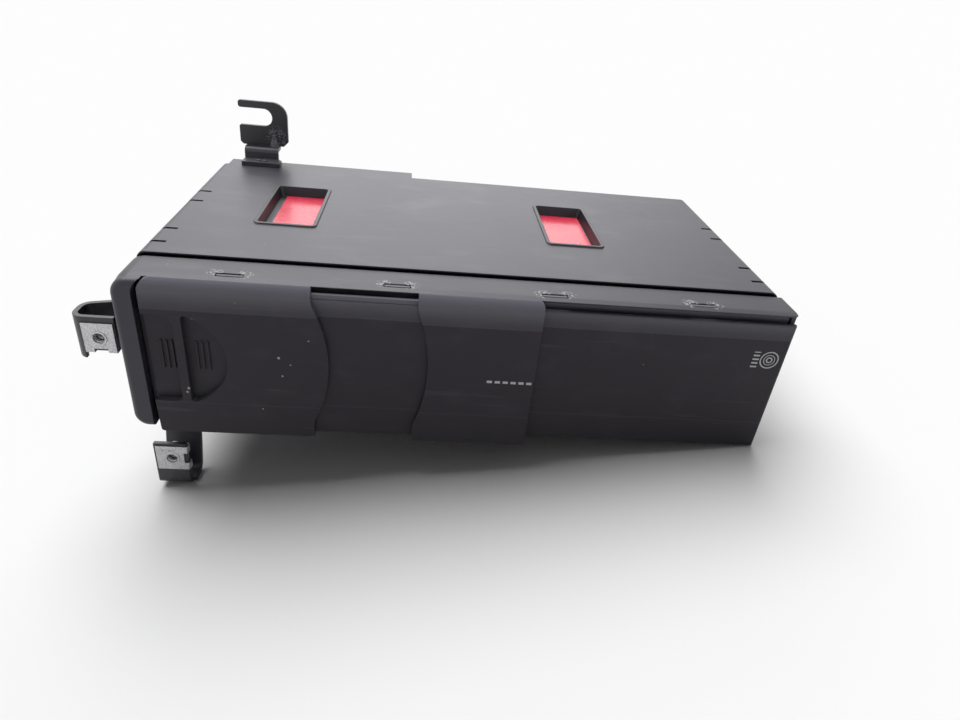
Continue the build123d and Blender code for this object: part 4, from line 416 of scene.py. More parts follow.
# The disc sign's rings, as a share of its radius and a thickness, and the bars to its left: their
# gap, width, pitch and thickness, in millimetres
DISC_RINGS = ((1.0, 0.5), (0.62, 0.3), (0.3, 0.5))
BAR_GAP, BAR_WIDTH, BAR_PITCH, BAR_THICK = 3.4, 2.6, 1.7, 0.7


def disc_rings(f):
    """A plain pictogram on the fixed panel: a disc's rings beside a column of short bars."""
    x, y, z = f.along()
    marks = bpy.context.scene.changer_marks
    centre = place(marks.disc_x, 0, marks.disc_z)
    dx = (x - centre.x) * 1000
    dz = (z - centre.z) * 1000
    away = (dx * dx + dz * dz) ** 0.5
    rings = 0.0
    for share, thick in DISC_RINGS:
        rings = (abs(away - marks.disc_radius * share) < thick / 2) + rings
    across = dx + marks.disc_radius + BAR_GAP
    along = (dz + marks.disc_radius) % BAR_PITCH
    bars = (across > 0.0) * (across < BAR_WIDTH) * (along < BAR_THICK)
    bars = bars * (abs(dz) < marks.disc_radius)
    return (rings + bars) * (y < place(0, PANEL_PRINT_BACK, 0).y)


# The eject sign, in millimetres: its middle on the button, its triangle's tip, foot and slope,
# and its bar's half width, height and half thickness
EJECT_MIDDLE = (125.0, 0, 53.2)
EJECT_TIP, EJECT_FOOT, EJECT_SLOPE = 0.9, -0.25, 1.1
EJECT_BAR = (1.0, -0.8, 0.2)


def eject_mark(f):
    """A generic eject sign on the button: a triangle over a bar."""
    x, _, z = f.along()
    centre = place(*EJECT_MIDDLE)
    dx = abs(x - centre.x) * 1000
    dz = (z - centre.z) * 1000
    triangle = ((dx * EJECT_SLOPE + dz) < EJECT_TIP) * (dz > EJECT_FOOT)
    half, height, thick = EJECT_BAR
    bar = (abs(dz - height) < thick) * (dx < half)
    return triangle + bar


def label_finish():
    """Glossy red film with a slightly uneven lie and fine dust."""
    f = Finish("label_red_film")
    cloud = f.grain(0.012, detail=3)
    dust = f.flecks(0.003, 0.00012, 0.15)
    colour = f.blend(cloud, f.tone("label", 0.88), f.tone("label", 1.12))
    colour = f.blend(dust * 0.5, colour, f.tone("dust"))
    rough = 0.2 + 0.14 * cloud + 0.3 * dust
    lie = f.relief(f.grain(0.009, detail=1), 0.00008)
    return f.close(colour, rough, lie, Coat_Weight=0.12, Coat_Roughness=0.12)


# In millimetres: the heights where the lid's paint on the hook bracket's foot starts, is full and
# is gone, and the spot on its dart where glints are painted
FOOT_HEIGHTS = (64.5, 67.0, 72.0)
DART = (26.0, 132.0, 76.0)


def bracket_finish():
    """Dipped black coat on the straps: low sheen, worn spots, dust, painted glints on the dart, and
    a foot in lid paint.
    """
    f = Finish("bracket_dipped_black")
    cloud = f.grain(0.012, detail=4)
    pits = f.ease(f.cells(0.0011), 0.16, 0.05) * f.ease(cloud, 0.45, 0.62)
    worn = f.ease(f.grain(0.006, detail=6, roughness=0.65), 0.62, 0.7)
    dust = f.flecks(0.0035, 0.00014, 0.18)
    colour = f.blend(cloud, f.tone("coat", 0.8), f.tone("coat", 1.35))
    colour = f.blend(worn * 0.28, colour, WORN_COAT)
    height = f.along()[2]
    start, full, faded = (place(0, 0, z).z for z in FOOT_HEIGHTS)
    foot = (height > start) * f.ease(height, faded, full)
    colour = f.blend(foot * 0.75, colour, FOOT_PAINT)
    # Painted glints: pale specks around the dart, where light catches it
    painted_glint_specks = f.ease(f.grain(0.0012, detail=4, roughness=0.7), 0.5, 0.56)
    colour = f.blend(f.near(place(*DART), 0.0075) * painted_glint_specks * 0.6, colour, DART_GLINT)
    colour = f.blend(dust * 0.5, colour, f.tone("dust"))
    rough = 0.3 + 0.14 * cloud + 0.16 * worn
    relief = f.relief(f.grain(0.0014, detail=3) - 0.5 * pits, 0.00003)
    return f.close(colour, rough, relief, Specular_IOR_Level=0.55)


def zinc_finish():
    """Dull zinc on spring steel: soft spangle, grey bloom and a few stains."""
    f = Finish("sheet_nut_zinc")
    flakes = f.add("ShaderNodeSeparateColor", {}, {0: f.cells(0.0016).also("Color")})
    bloom = f.grain(0.004, detail=5, roughness=0.6)
    stain = f.ease(f.grain(0.0025, detail=4), 0.6, 0.72)
    patches = flakes * 0.4 + bloom * 0.6
    colour = f.blend(patches, f.tone("zinc", 0.8), f.tone("zinc", 1.15))
    speckle = f.ease(f.grain(0.0006, detail=5, roughness=0.7), 0.46, 0.56)
    colour = f.blend(speckle * 0.5, colour, f.tone("zinc", 1.5))
    colour = f.blend(stain * 0.6, colour, f.tone("zinc", 0.3))
    rough = 0.4 + 0.2 * bloom + 0.15 * stain - 0.1 * speckle
    relief = f.relief(f.grain(0.0007, detail=4, roughness=0.6), 0.00005)
    return f.close(colour, rough, relief, 0.9 - 0.5 * stain)


def screw_finish():
    """Dark zinc-plated screws with a cloudy tone and fine grain."""
    f = Finish("screw_dark_zinc")
    cloud = f.grain(0.002, detail=4)
    fine = f.grain(0.00035, detail=2)
    colour = f.blend(cloud, f.tone("zinc", 0.42), f.tone("zinc", 0.78))
    return f.close(colour, 0.3 + 0.2 * fine, f.relief(fine, 0.000012), 0.95 - 0.1 * cloud)


def magazine_finish():
    """Moulded black plastic of the magazine with spark grain and slide rubs along its sides."""
    f = Finish("magazine_moulded")
    tooth = f.cells(0.0006, "SMOOTH_F1")
    rubs = f.scratches(0.12, (0, 0, math.pi / 2), 0.6, 40)
    cloud = f.grain(0.03, detail=3)
    colour = f.blend(cloud, *TONES["magazine"])
    colour = f.blend(rubs * 0.3, colour, SLIDE_RUB)
    rough = 0.42 + 0.14 * cloud + 0.1 * rubs
    return f.close(colour, rough, f.relief(tooth, 0.00003), Specular_IOR_Level=0.45)


def plated_finish():
    """Zinc-plated sheet: rolled grain, soft spangle and dark handling marks."""
    f = Finish("plated_sheet")
    rolled = f.grain(0.02, detail=3, stretch=(1, 60, 60))
    flakes = f.add("ShaderNodeSeparateColor", {}, {0: f.cells(0.004).also("Color")})
    marks = f.ease(f.grain(0.018, detail=5), 0.58, 0.72)
    colour = f.blend(rolled * 0.5 + flakes * 0.5, *TONES["plated"])
    colour = f.blend(marks * 0.35, colour, SHEET_MARK)
    rough = 0.32 + 0.16 * rolled + 0.14 * marks
    return f.close(colour, rough, f.relief(rolled, 0.000012), 0.95 - 0.2 * marks)


def acetal_finish():
    """Natural white acetal: waxy, faintly cloudy, with grease-grey in its marks."""
    f = Finish("natural_acetal")
    cloud = f.grain(0.01, detail=3)
    grease = f.ease(f.grain(0.006, detail=5), 0.6, 0.75)
    colour = f.blend(cloud, *TONES["acetal"])
    colour = f.blend(grease * 0.3, colour, GREASE)
    relief = f.relief(f.grain(0.001), 0.00001)
    return f.close(colour, 0.36 + 0.14 * cloud, relief, Subsurface_Weight=0.15)


def rod_finish():
    """Ground steel rods with an oil film."""
    f = Finish("ground_rod")
    ground = f.grain(0.0005, detail=2)
    film = f.grain(0.008, detail=4)
    colour = f.blend(film, *TONES["rod"])
    rough = 0.14 + 0.12 * film + 0.06 * ground
    return f.close(colour, rough, f.relief(ground, 0.000004), 1.0)


def motor_finish():
    """Plated motor cans with drawn lines and thumb marks."""
    f = Finish("motor_can")
    drawn = f.grain(0.003, detail=3, stretch=(1, 1, 14))
    prints = f.ease(f.grain(0.005, detail=4), 0.55, 0.7)
    colour = f.blend(drawn, *TONES["motor"])
    colour = f.blend(prints * 0.3, colour, THUMB_MARK)
    return f.close(colour, 0.28 + 0.2 * prints, f.relief(drawn, 0.00001), 0.95 - 0.15 * prints)


def board_finish():
    """Green solder resist with buried tracks, ground fill, vias and pads."""
    f = Finish("board_solder_resist")
    x, y, _ = f.along()
    wander = f.grain(0.02, detail=1, shift=(0.4, 0, 0)) * 0.008
    runs = abs(((x + wander) % 0.0016) - 0.0008) < 0.00028
    across = abs(((y + wander) % 0.0021) - 0.00105) < 0.0003
    zone = f.cells(0.024).also("Color")
    pick = f.add("ShaderNodeSeparateColor", {}, {0: zone})
    tracks = runs * (pick < 0.42) + across * (pick > 0.68)
    vias = f.flecks(0.0032, 0.00042, 0.5, stretch=(1, 1, 0.02))
    pads = f.flecks(0.0051, 0.0009, 0.3, stretch=(1, 1, 0.02), shift=(0.1, 0.3, 0))
    colour = f.blend(tracks * 0.75, *TONES["board"])
    colour = f.blend(f.grain(0.03) * 0.3, colour, GROUND_FILL)
    metal = f.ease(vias + pads, 0.3, 0.6)
    colour = f.blend(metal, colour, SOLDER)
    return f.close(colour, 0.3 + 0.1 * metal, f.relief(tracks + metal, 0.00004), metal * 0.9)


def chip_finish():
    """Moulded black epoxy of chips and of the pickup: fine sand grain and a dull face."""
    f = Finish("chip_epoxy")
    sand = f.grain(0.0003, detail=3)
    cloud = f.grain(0.006)
    colour = f.blend(cloud, *TONES["chip"])
    return f.close(colour, 0.5 + 0.2 * sand, f.relief(sand, 0.00002), Specular_IOR_Level=0.4)


def socket_finish():
    """Grey-black moulded socket with flow marks."""
    f = Finish("socket_moulding")
    flow = f.grain(0.008, detail=4, stretch=(1, 1, 3))
    tooth = f.grain(0.0004, detail=2)
    colour = f.blend(flow, *TONES["socket"])
    return f.close(colour, 0.38 + 0.16 * flow, f.relief(tooth, 0.00002))


def pin_finish():
    """Tinned brass pins, yellower where the tin is thin."""
    f = Finish("tinned_brass")
    thin = f.ease(f.grain(0.0014, detail=4), 0.45, 0.7)
    colour = f.blend(thin, *TONES["pin"])
    return f.close(colour, 0.24 + 0.12 * thin, f.relief(f.grain(0.0005), 0.00001), 1.0)


def rubber_finish():
    """Soft black damper rubber with a dry bloom."""
    f = Finish("damper_rubber")
    bloom = f.grain(0.004, detail=5)
    colour = f.blend(bloom, *TONES["rubber"])
    return f.close(colour, 0.7 + 0.18 * bloom, f.relief(f.grain(0.0007, detail=3), 0.00003))


def lens_finish():
    """Coated pickup lens with a faint violet bloom."""
    f = Finish("pickup_lens_glass")
    bloom = f.grain(0.002, detail=2)
    colour = f.blend(bloom, *TONES["lens"])
    return f.close(colour, 0.04 + 0.04 * bloom, Transmission_Weight=0.6, IOR=1.5, Coat_Weight=0.5)


FINISHES = {
    "case_paint": paint_finish, "frame_plastic": frame_finish, "door_plastic": door_finish,
    "red_label": label_finish, "bracket_black": bracket_finish, "nut_zinc": zinc_finish,
    "screw_steel": screw_finish, "magazine_plastic": magazine_finish, "bay_steel": plated_finish,
    "guide_plastic": acetal_finish, "rod_steel": rod_finish, "motor_steel": motor_finish,
    "board_green": board_finish, "chip_black": chip_finish, "socket_plastic": socket_finish,
    "pin_brass": pin_finish, "damper_rubber": rubber_finish, "lens_glass": lens_finish,
}
made_finishes = {}


def finish_of(slot):
    """The material of a slot of the record, made once."""
    if slot not in made_finishes:
        made_finishes[slot] = FINISHES[slot]()
    return made_finishes[slot]


def slot_of(node):
    """The material slot that the record gives to a node."""
    parts = frame["record"]["subparts"]
    return next(part["material_slot"] for part in parts if part["node"] == node)


def coat(piece, material):
    """Gives a piece one material."""
    piece.data.materials.clear()
    piece.data.materials.append(material)


def stand(name, data):
    """A new object at the scene's origin."""
    thing = bpy.data.objects.new(name, data)
    bpy.context.scene.collection.objects.link(thing)
    return thing


# Edges are rounded from the first angle on, and shaded as sharp from the second
ROUND_FROM = math.radians(34)
SHARP_FROM = math.radians(40)
ROUND_STEPS = 2
# Points closer than this are one, in metres: in a solid's mesh, and in a mesh that a tree made
SOLID_WELD = 2e-6
GROWN_WELD = 1e-6


def soften(node, width, merge=0.4, material=None):
    """Stands a copy of a node in its place, its sharp edges rounded by a width in millimetres.

    Faces whose directions differ by less than the merge angle, in degrees, become one.
    """
    source = frame["nodes"][node]
    mesh = source.data.copy()
    work = bmesh.new()
    work.from_mesh(mesh)
    bmesh.ops.remove_doubles(work, verts=work.verts, dist=SOLID_WELD)
    flat = math.radians(merge)
    bmesh.ops.dissolve_limit(work, angle_limit=flat, verts=work.verts, edges=work.edges)
    work.to_mesh(mesh)
    work.free()
    piece = stand(f"{node}_dressed", mesh)
    round_off = piece.modifiers.new("edge", "BEVEL")
    round_off.width = width / 1000
    round_off.segments = ROUND_STEPS
    round_off.limit_method = "ANGLE"
    round_off.angle_limit = ROUND_FROM
    round_off.use_clamp_overlap = False
    piece.data = bake_piece(piece)
    low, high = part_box(node)
    for point in piece.data.vertices:
        point.co = [min(max(part, a), b) for part, a, b in zip(point.co, low, high)]
    piece.data.shade_smooth()
    piece.data.set_sharp_from_angle(angle=SHARP_FROM)
    weigh = piece.modifiers.new("weigh", "WEIGHTED_NORMAL")
    weigh.keep_sharp = True
    weigh.weight = 100
    piece.data = bake_piece(piece)
    coat(piece, material or finish_of(slot_of(node)))
    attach(piece, source["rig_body"])
    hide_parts(node)
    return piece


def bake_piece(piece):
    """The piece's evaluated mesh, with its modifiers taken off the piece."""
    graph = bpy.context.evaluated_depsgraph_get()
    options = {"preserve_all_data_layers": True, "depsgraph": graph}
    mesh = bpy.data.meshes.new_from_object(piece.evaluated_get(graph), **options)
    piece.modifiers.clear()
    return mesh


# Geometry trees for what repeats


class Form(Board):
    """A geometry tree under construction, with named inputs for its sizes."""

    def __init__(self, name, sizes):
        super().__init__(bpy.data.node_groups.new(name, "GeometryNodeTree"))
        sockets = self.tree.interface
        for label, kind in sizes.items():
            sockets.new_socket(label, in_out="INPUT", socket_type=f"NodeSocket{kind}")
        sockets.new_socket("Shape", in_out="OUTPUT", socket_type="NodeSocketGeometry")
        self.inlet = self.tree.nodes.new("NodeGroupInput")

    def size(self, label):
        """One of the tree's named inputs."""
        return Wire(self, self.inlet.outputs[label])

    def end(self, shape):
        """Places the shape, makes its instances real and gives it its material."""
        moves = {"Translation": self.size("Start"), "Rotation": self.size("Turn")}
        placed = self.add("GeometryNodeTransform", {}, {"Geometry": shape, **moves})
        real = self.add("GeometryNodeRealizeInstances", {}, {0: placed})
        material = {"Geometry": real, "Material": self.size("Finish")}
        coated = self.add("GeometryNodeSetMaterial", {}, material)
        self.add("NodeGroupOutput", {}, {0: coated})
        return self.tree


# The inputs that place and finish what a tree makes, and the steps and sides of its curves
PLACING = {"Start": "Vector", "Turn": "Rotation", "Finish": "Material"}
FINENESS = {"turn": 18, "ridge": 5, "rod": 24, "rib": 14, "leg": 6}


def floats(*labels):
    """Plain number inputs for a tree."""
    return dict.fromkeys(labels, "Float")


def ring(form, size, fineness):
    """A circle whose radius is one of the tree's inputs."""
    sockets = {"Resolution": FINENESS[fineness], "Radius": form.size(size)}
    return form.add("GeometryNodeCurvePrimitiveCircle", {}, sockets)


def swept(form, line, outline):
    """A capped mesh of an outline swept along a line."""
    sockets = {"Curve": line, "Profile Curve": outline, "Fill Caps": True}
    return form.add("GeometryNodeCurveToMesh", {}, sockets)


def thread_form():
    """A helical ridge along Z, with a core under it where the core's radius isn't nothing."""
    form = Form("thread", {**floats("Radius", "Ridge", "Pitch", "Length", "Core"), **PLACING})
    length = form.size("Length")
    cored = form.size("Core") > 0.0
    reach = form.size("Radius") - form.size("Ridge") * cored
    turns = {"Resolution": FINENESS["turn"], "Rotations": length / form.size("Pitch")}
    turns.update({"Start Radius": reach, "End Radius": reach, "Height": length})
    helix = form.add("GeometryNodeCurveSpiral", {}, turns)
    ridge = swept(form, helix, ring(form, "Ridge", "ridge"))
    core = {"Vertices": FINENESS["rod"], "Radius": form.size("Core"), "Depth": length}
    rod = form.add("GeometryNodeMeshCylinder", {}, core)
    middle = form.add("ShaderNodeCombineXYZ", {}, {"Z": length / 2})
    rod = form.add("GeometryNodeTransform", {}, {"Geometry": rod, "Translation": middle})
    choice = {"Switch": cored, "True": rod}
    solid = form.add("GeometryNodeSwitch", {"input_type": "GEOMETRY"}, choice)
    return form.end(form.add("GeometryNodeJoinGeometry", {}, {0: [ridge, solid]}))


def row_form(name, item_sizes, item):
    """A straight row of like items, each a short swept piece."""
    form = Form(name, {"Count": "Int", "Step": "Vector", **item_sizes, **PLACING})
    steps = {"Count": form.size("Count"), "Offset": form.size("Step")}
    line = form.add("GeometryNodeMeshLine", {"mode": "OFFSET"}, steps)
    sockets = {"Points": line, "Instance": item(form)}
    return form.end(form.add("GeometryNodeInstanceOnPoints", {}, sockets))


def rib(form):
    """A round-backed upright rib."""
    rise = form.add("ShaderNodeCombineXYZ", {}, {"Z": form.size("Length")})
    line = form.add("GeometryNodeCurvePrimitiveLine", {}, {"End": rise})
    return swept(form, line, ring(form, "Radius", "rib"))


def chip_leg(form):
    """A chip's leg: out of the body, down and out to its pad."""
    reach = form.size("Reach")
    drop = form.size("Drop")
    points = {
        "Start": form.add("ShaderNodeCombineXYZ", {}, {"Z": drop}),
        "Start Handle": form.add("ShaderNodeCombineXYZ", {}, {"X": reach * 0.8, "Z": drop}),
        "End Handle": form.add("ShaderNodeCombineXYZ", {}, {"X": reach * 0.2}),
        "End": form.add("ShaderNodeCombineXYZ", {}, {"X": reach}),
        "Resolution": FINENESS["leg"],
    }
    bend = form.add("GeometryNodeCurvePrimitiveBezierSegment", {}, points)
    sides = {"Width": form.size("Width"), "Height": form.size("Width") * 0.4}
    return swept(form, bend, form.add("GeometryNodeCurvePrimitiveQuadrilateral", {}, sides))


def grow(tree, slot, sizes):
    """The plain mesh that a geometry tree makes from its sizes."""
    piece = stand(tree.name, bpy.data.meshes.new(tree.name))
    made = piece.modifiers.new("form", "NODES")
    made.node_group = tree
    for item in tree.interface.items_tree:
        if item.in_out == "INPUT":
            made[item.identifier] = finish_of(slot) if item.name == "Finish" else sizes[item.name]
    mesh = bake_piece(piece)
    bpy.data.objects.remove(piece)
    return mesh


def gather(name, meshes, body, slot):
    """One piece from several meshes, its doubles merged and its faces turned outwards."""
    work = bmesh.new()
    for mesh in meshes:
        work.from_mesh(mesh)
    bmesh.ops.remove_doubles(work, verts=work.verts, dist=GROWN_WELD)
    bmesh.ops.recalc_face_normals(work, faces=work.faces)
    whole = bpy.data.meshes.new(name)
    work.to_mesh(whole)
    work.free()
    whole.shade_smooth()
    whole.set_sharp_from_angle(angle=SHARP_FROM)
    piece = stand(name, whole)
    coat(piece, finish_of(slot))
    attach(piece, body)
    return piece


# Properties that a user would change

# What every colour property shares
SWATCH = {"subtype": "COLOR", "min": 0, "max": 1}


class ChangerColours(bpy.types.PropertyGroup):
    """Colours of the changer's visible finishes."""

    paint: FloatVectorProperty(
        name="Casing paint", description="Satin paint of the lid and casing",
        default=(0.026, 0.0245, 0.033), **SWATCH)
    plastic: FloatVectorProperty(
        name="Frame plastic", description="Plastic of the front frame",
        default=(0.022, 0.02, 0.025), **SWATCH)
    door: FloatVectorProperty(
        name="Door plastic", description="Plastic of the leaves and the fixed panel",
        default=(0.027, 0.0236, 0.0278), **SWATCH)
    label: FloatVectorProperty(
        name="Window label", description="Film in the lid's two windows",
        default=(0.82, 0.04, 0.09), **SWATCH)
    coat: FloatVectorProperty(
        name="Bracket coat", description="Dipped coat of the three brackets",
        default=(0.025, 0.023, 0.031), **SWATCH)
    zinc: FloatVectorProperty(
        name="Zinc", description="Zinc of the sheet nuts and screws",
        default=(0.44, 0.435, 0.45), **SWATCH)
    print: FloatVectorProperty(
        name="Print", description="Pale ink of the printed marks",
        default=(0.62, 0.62, 0.64), **SWATCH)
    dust: FloatVectorProperty(
        name="Dust", description="Dust and lint on the surfaces",
        default=(0.55, 0.54, 0.52), **SWATCH)


class ChangerMarks(bpy.types.PropertyGroup):
    """Sizes and places of the printed marks, in millimetres."""

    dash_start: FloatProperty(
        name="Dash start", description="Left end of the row of dashes", default=132.5)
    dash_height: FloatProperty(
        name="Dash height", description="Height of the row of dashes", default=29.2)
    dash_pitch: FloatProperty(
        name="Dash pitch", description="From one dash to the next", default=3.1, min=0.5)
    dash_share: FloatProperty(
        name="Dash share", description="Part of the pitch that is inked",
        default=0.66, subtype="FACTOR", min=0, max=1)
    dash_thick: FloatProperty(
        name="Dash thickness", description="Height of a dash", default=1.1, min=0.1)
    dash_count: IntProperty(name="Dashes", description="Number of dashes", default=6, min=1)
    disc_x: FloatProperty(name="Disc mark X", description="Middle of the disc mark", default=244.5)
    disc_z: FloatProperty(name="Disc mark Z", description="Height of the disc mark", default=43.5)
    disc_radius: FloatProperty(
        name="Disc mark radius", description="Radius of its outer ring", default=3.6, min=0.5)


# The board's flat chips: x, y and size, in millimetres
BOARD_CHIPS = ((45.0, 40.0, 14.0), (80.0, 55.0, 20.0), (112.0, 40.0, 10.0), (75.0, 88.0, 12.0))


class ChangerFine(bpy.types.PropertyGroup):
    """Sizes of the small repeated parts, in millimetres."""

    rib_count: IntProperty(
        name="Grip ribs", description="Ribs in the magazine's grip recess", default=27, min=2)
    rib_radius: FloatProperty(
        name="Rib radius", description="Radius of a grip rib", default=0.75, min=0.1)
    leg_pitch: FloatProperty(
        name="Leg pitch", description="From one chip leg to the next", default=1.0, min=0.3)


class ChangerStage(bpy.types.PropertyGroup):
    """The floor and the light."""

    key_power: FloatProperty(
        name="Key strength", description="Strength of the overhead light", default=2.75, min=0)
    key_spread: FloatProperty(
        name="Key spread", description="Width of the overhead light",
        default=math.radians(56), subtype="ANGLE")
    rear_power: FloatProperty(
        name="Rear strength", description="Strength of the light from behind", default=0.75, min=0)
    ambient: FloatProperty(
        name="Ambient", description="Level of the even light from all round", default=0.12, min=0)
    floor_tilt: FloatProperty(
        name="Floor slope", description="Rise of the floor for each unit to the right",
        default=0.1437)
    lens: FloatProperty(name="Lens", description="Focal length of the camera", default=25.22, min=1)


# Operators


class CHANGER_OT_casing(bpy.types.Operator):
    """Finish the lid, the lower casing, their screws and the rear socket"""

    bl_idname = "changer.casing"
    bl_label = "Casing"

    def execute(self, context):
        soften("top_cover", 0.22)
        soften("bottom_case", 0.14)
        soften("case_screws", 0.08)
        soften("rear_socket", 0.2)
        return {"FINISHED"}


class CHANGER_OT_front(bpy.types.Operator):
    """Finish the front frame, the fixed panel, the two leaves and the eject button"""

    bl_idname = "changer.front"
    bl_label = "Front and door"

    def execute(self, context):
        panel = door_finish("panel_grained_plastic", prints=disc_rings)
        leaf = door_finish("outer_leaf_plastic", prints=feature_dashes)
        grip = door_finish("grip_cover_plastic", flecks=GRIP_FLECKS_AND_GLINTS)
        button = door_finish("button_plastic", prints=eject_mark)
        soften("front_frame", 0.25)
        soften("front_panel", 0.18, merge=0.02, material=panel)
        soften("outer_leaf", 0.2, material=leaf)
        soften("grip_cover", 0.15, material=grip)
        soften("door_carrier", 0.15, merge=0.02)
        soften("eject_button", 0.2, material=button)
        return {"FINISHED"}


class CHANGER_OT_brackets(bpy.types.Operator):
    """Finish the three steel brackets, their screws and the two sheet nuts"""

    bl_idname = "changer.brackets"
    bl_label = "Brackets"

    def execute(self, context):
        soften("hook_bracket", 0.06)
        for node in ("side_bracket", "foot_bracket"):
            soften(node, 0.3)
        for node in ("side_sheet_nut", "foot_sheet_nut"):
            soften(node, 0.12)
        for node in ("side_bracket_screws", "foot_bracket_screws"):
            soften(node, 0.08)
        return {"FINISHED"}


# The sheet nuts' threads: where each starts, in millimetres, and their sizes, in metres
NUT_THREADS = {"side_nut_thread": (-15.05, -2.7, 31.6), "foot_nut_thread": (7.5, -10.4, -19.35)}
NUT_SIZES = {"Radius": 0.0023, "Ridge": 0.00034, "Pitch": 0.001, "Length": 0.0066, "Core": 0.0}
# The ridge and the pitch of the lift screw and the feed screw, in metres
SCREW_RIDGE = 0.0003
SCREW_PITCH = 0.002
QUARTER = math.pi / 2


class CHANGER_OT_threads(bpy.types.Operator):
    """Cut the threads of the two sheet nuts, the lift screw and the feed screw"""

    bl_idname = "changer.threads"
    bl_label = "Threads"

    def execute(self, context):
        tree = thread_form()
        for name, start in NUT_THREADS.items():
            sizes = {**NUT_SIZES, "Start": place(*start), "Turn": (QUARTER, 0, 0)}
            gather(name, [grow(tree, "nut_zinc", sizes)], "case", "nut_zinc")
        low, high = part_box("lift_screw")
        middle = (low + high) / 2
        radius = (high.z - low.z) / 2
        sizes = {
            "Radius": radius, "Ridge": SCREW_RIDGE, "Core": radius - SCREW_RIDGE,
            "Pitch": SCREW_PITCH, "Length": high.x - low.x,
            "Start": (low.x, middle.y, middle.z), "Turn": (0, QUARTER, 0),
        }
        mesh = grow(tree, "rod_steel", sizes)
        lift = gather("lift_screw_threaded", [mesh], "lift_screw", "rod_steel")
        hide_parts("lift_screw")
        # The feed screw runs at 45 degrees, so its box's corners lie beside its ends
        low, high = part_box("feed_screw")
        lean = radius * math.sqrt(0.5)
        start = Vector((low.x + lean, high.y - lean, (low.z + high.z) / 2))
        end = Vector((high.x - lean, low.y + lean, start.z))
        turn = (0, QUARTER, -QUARTER / 2)
        sizes.update({"Length": (end - start).length, "Start": start, "Turn": turn})
        mesh = grow(tree, "rod_steel", sizes)
        feed = gather("feed_screw_threaded", [mesh], "feed_screw", "rod_steel")
        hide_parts("feed_screw")
        return {"FINISHED"}


# The row of ribs in the grip recess: its start and its length, in millimetres, and a rib's
# length, in metres
RIBS_START = (22.5, -12.5, 27.3)
RIBS_RUN = 104.0
RIB_LENGTH = 0.0128
# A chip's legs: their sizes in metres, and in millimetres how high they stand, how far their
# roots lie inside the chip's side and how much of the side they leave free
LEG_SIZES = {"Reach": 0.0011, "Drop": 0.0008, "Width": 0.00035}
LEG_LEVEL = 7.65
LEG_ROOT = 0.1
LEG_MARGIN = 2.0


class CHANGER_OT_rows(bpy.types.Operator):
    """Set the ribs in the magazine's grip recess and the legs of the board's chips"""

    bl_idname = "changer.rows"
    bl_label = "Ribs and legs"

    def execute(self, context):
        fine = context.scene.changer_fine
        ribs = row_form("grip_ribs", floats("Radius", "Length"), rib)
        span = RIBS_RUN / (fine.rib_count - 1)
        sizes = {
            "Count": fine.rib_count, "Step": (span / 1000, 0, 0),
            "Radius": fine.rib_radius / 1000, "Length": RIB_LENGTH,
            "Start": place(*RIBS_START), "Turn": (0, 0, 0),
        }
        mesh = grow(ribs, "magazine_plastic", sizes)
        gather("magazine_grip_ribs", [mesh], "case", "magazine_plastic")
        legs = row_form("chip_legs", floats("Reach", "Drop", "Width"), chip_leg)
        meshes = []
        for x, y, size in BOARD_CHIPS:
            count = int((size - LEG_MARGIN) / fine.leg_pitch)
            half = size / 2 - LEG_ROOT
            run = (count - 1) * fine.leg_pitch / 2
            sides = ((half, -run), (run, half), (-half, run), (-run, -half))
            for quarters, (dx, dy) in enumerate(sides):
                sizes = {
                    "Count": count, "Step": (0, fine.leg_pitch / 1000, 0), **LEG_SIZES,
                    "Start": place(x + dx, y + dy, LEG_LEVEL), "Turn": (0, 0, quarters * QUARTER),
                }
                meshes.append(grow(legs, "pin_brass", sizes))
        gather("chip_legs", meshes, "case", "pin_brass")
        return {"FINISHED"}


class CHANGER_OT_inside(bpy.types.Operator):
    """Give each of the frame's parts the finish of its slot"""

    bl_idname = "changer.inside"
    bl_label = "Inner parts"

    def execute(self, context):
        for node, source in frame["nodes"].items():
            coat(source, finish_of(slot_of(node)))
        return {"FINISHED"}


class CHANGER_OT_stage(bpy.types.Operator):
    """Set up the floor, the soft light, the white surround and the camera"""

    bl_idname = "changer.stage"
    bl_label = "Stage"

    def execute(self, context):
        stage = context.scene.changer_stage
        lay_floor(stage)
        hang_lights(stage)
        set_camera(stage)
        context.scene.view_settings.view_transform = "Standard"
        return {"FINISHED"}


# The foot bracket's lowest point, in millimetres. Then the floor's gap under it and the floor's
# half width, in metres.
FOOT_LOW = (14.9, 0, -34.0)
FLOOR_GAP = 0.0002
FLOOR_REACH = 14.0
FLOOR_WHITE = (0.93, 0.93, 0.93, 1)


def lay_floor(stage):
    """A wide plain floor that the foot bracket and the casing's right edge rest on."""
    contact = place(*FOOT_LOW)
    corners = []
    for x, y in ((-1, -1), (1, -1), (1, 1), (-1, 1)):
        rise = (x * FLOOR_REACH - contact.x) * stage.floor_tilt
        corners.append((x * FLOOR_REACH, y * FLOOR_REACH, contact.z - FLOOR_GAP + rise))
    mesh = bpy.data.meshes.new("floor")
    mesh.from_pydata(corners, [], [(0, 1, 2, 3)])
    floor = stand("floor", mesh)
    material = bpy.data.materials.new("floor_white")
    material.use_nodes = True
    f = Board(material.node_tree)
    f.tree.nodes.clear()
    white = f.add("ShaderNodeBsdfDiffuse", {}, {"Color": FLOOR_WHITE})
    clear = f.add("ShaderNodeBsdfTransparent")
    under = f.add("ShaderNodeNewGeometry", output="Backfacing")
    shader = f.add("ShaderNodeMixShader", {}, {0: under, 1: white, 2: clear})
    f.add("ShaderNodeOutputMaterial", {}, {"Surface": shader})
    coat(floor, material)


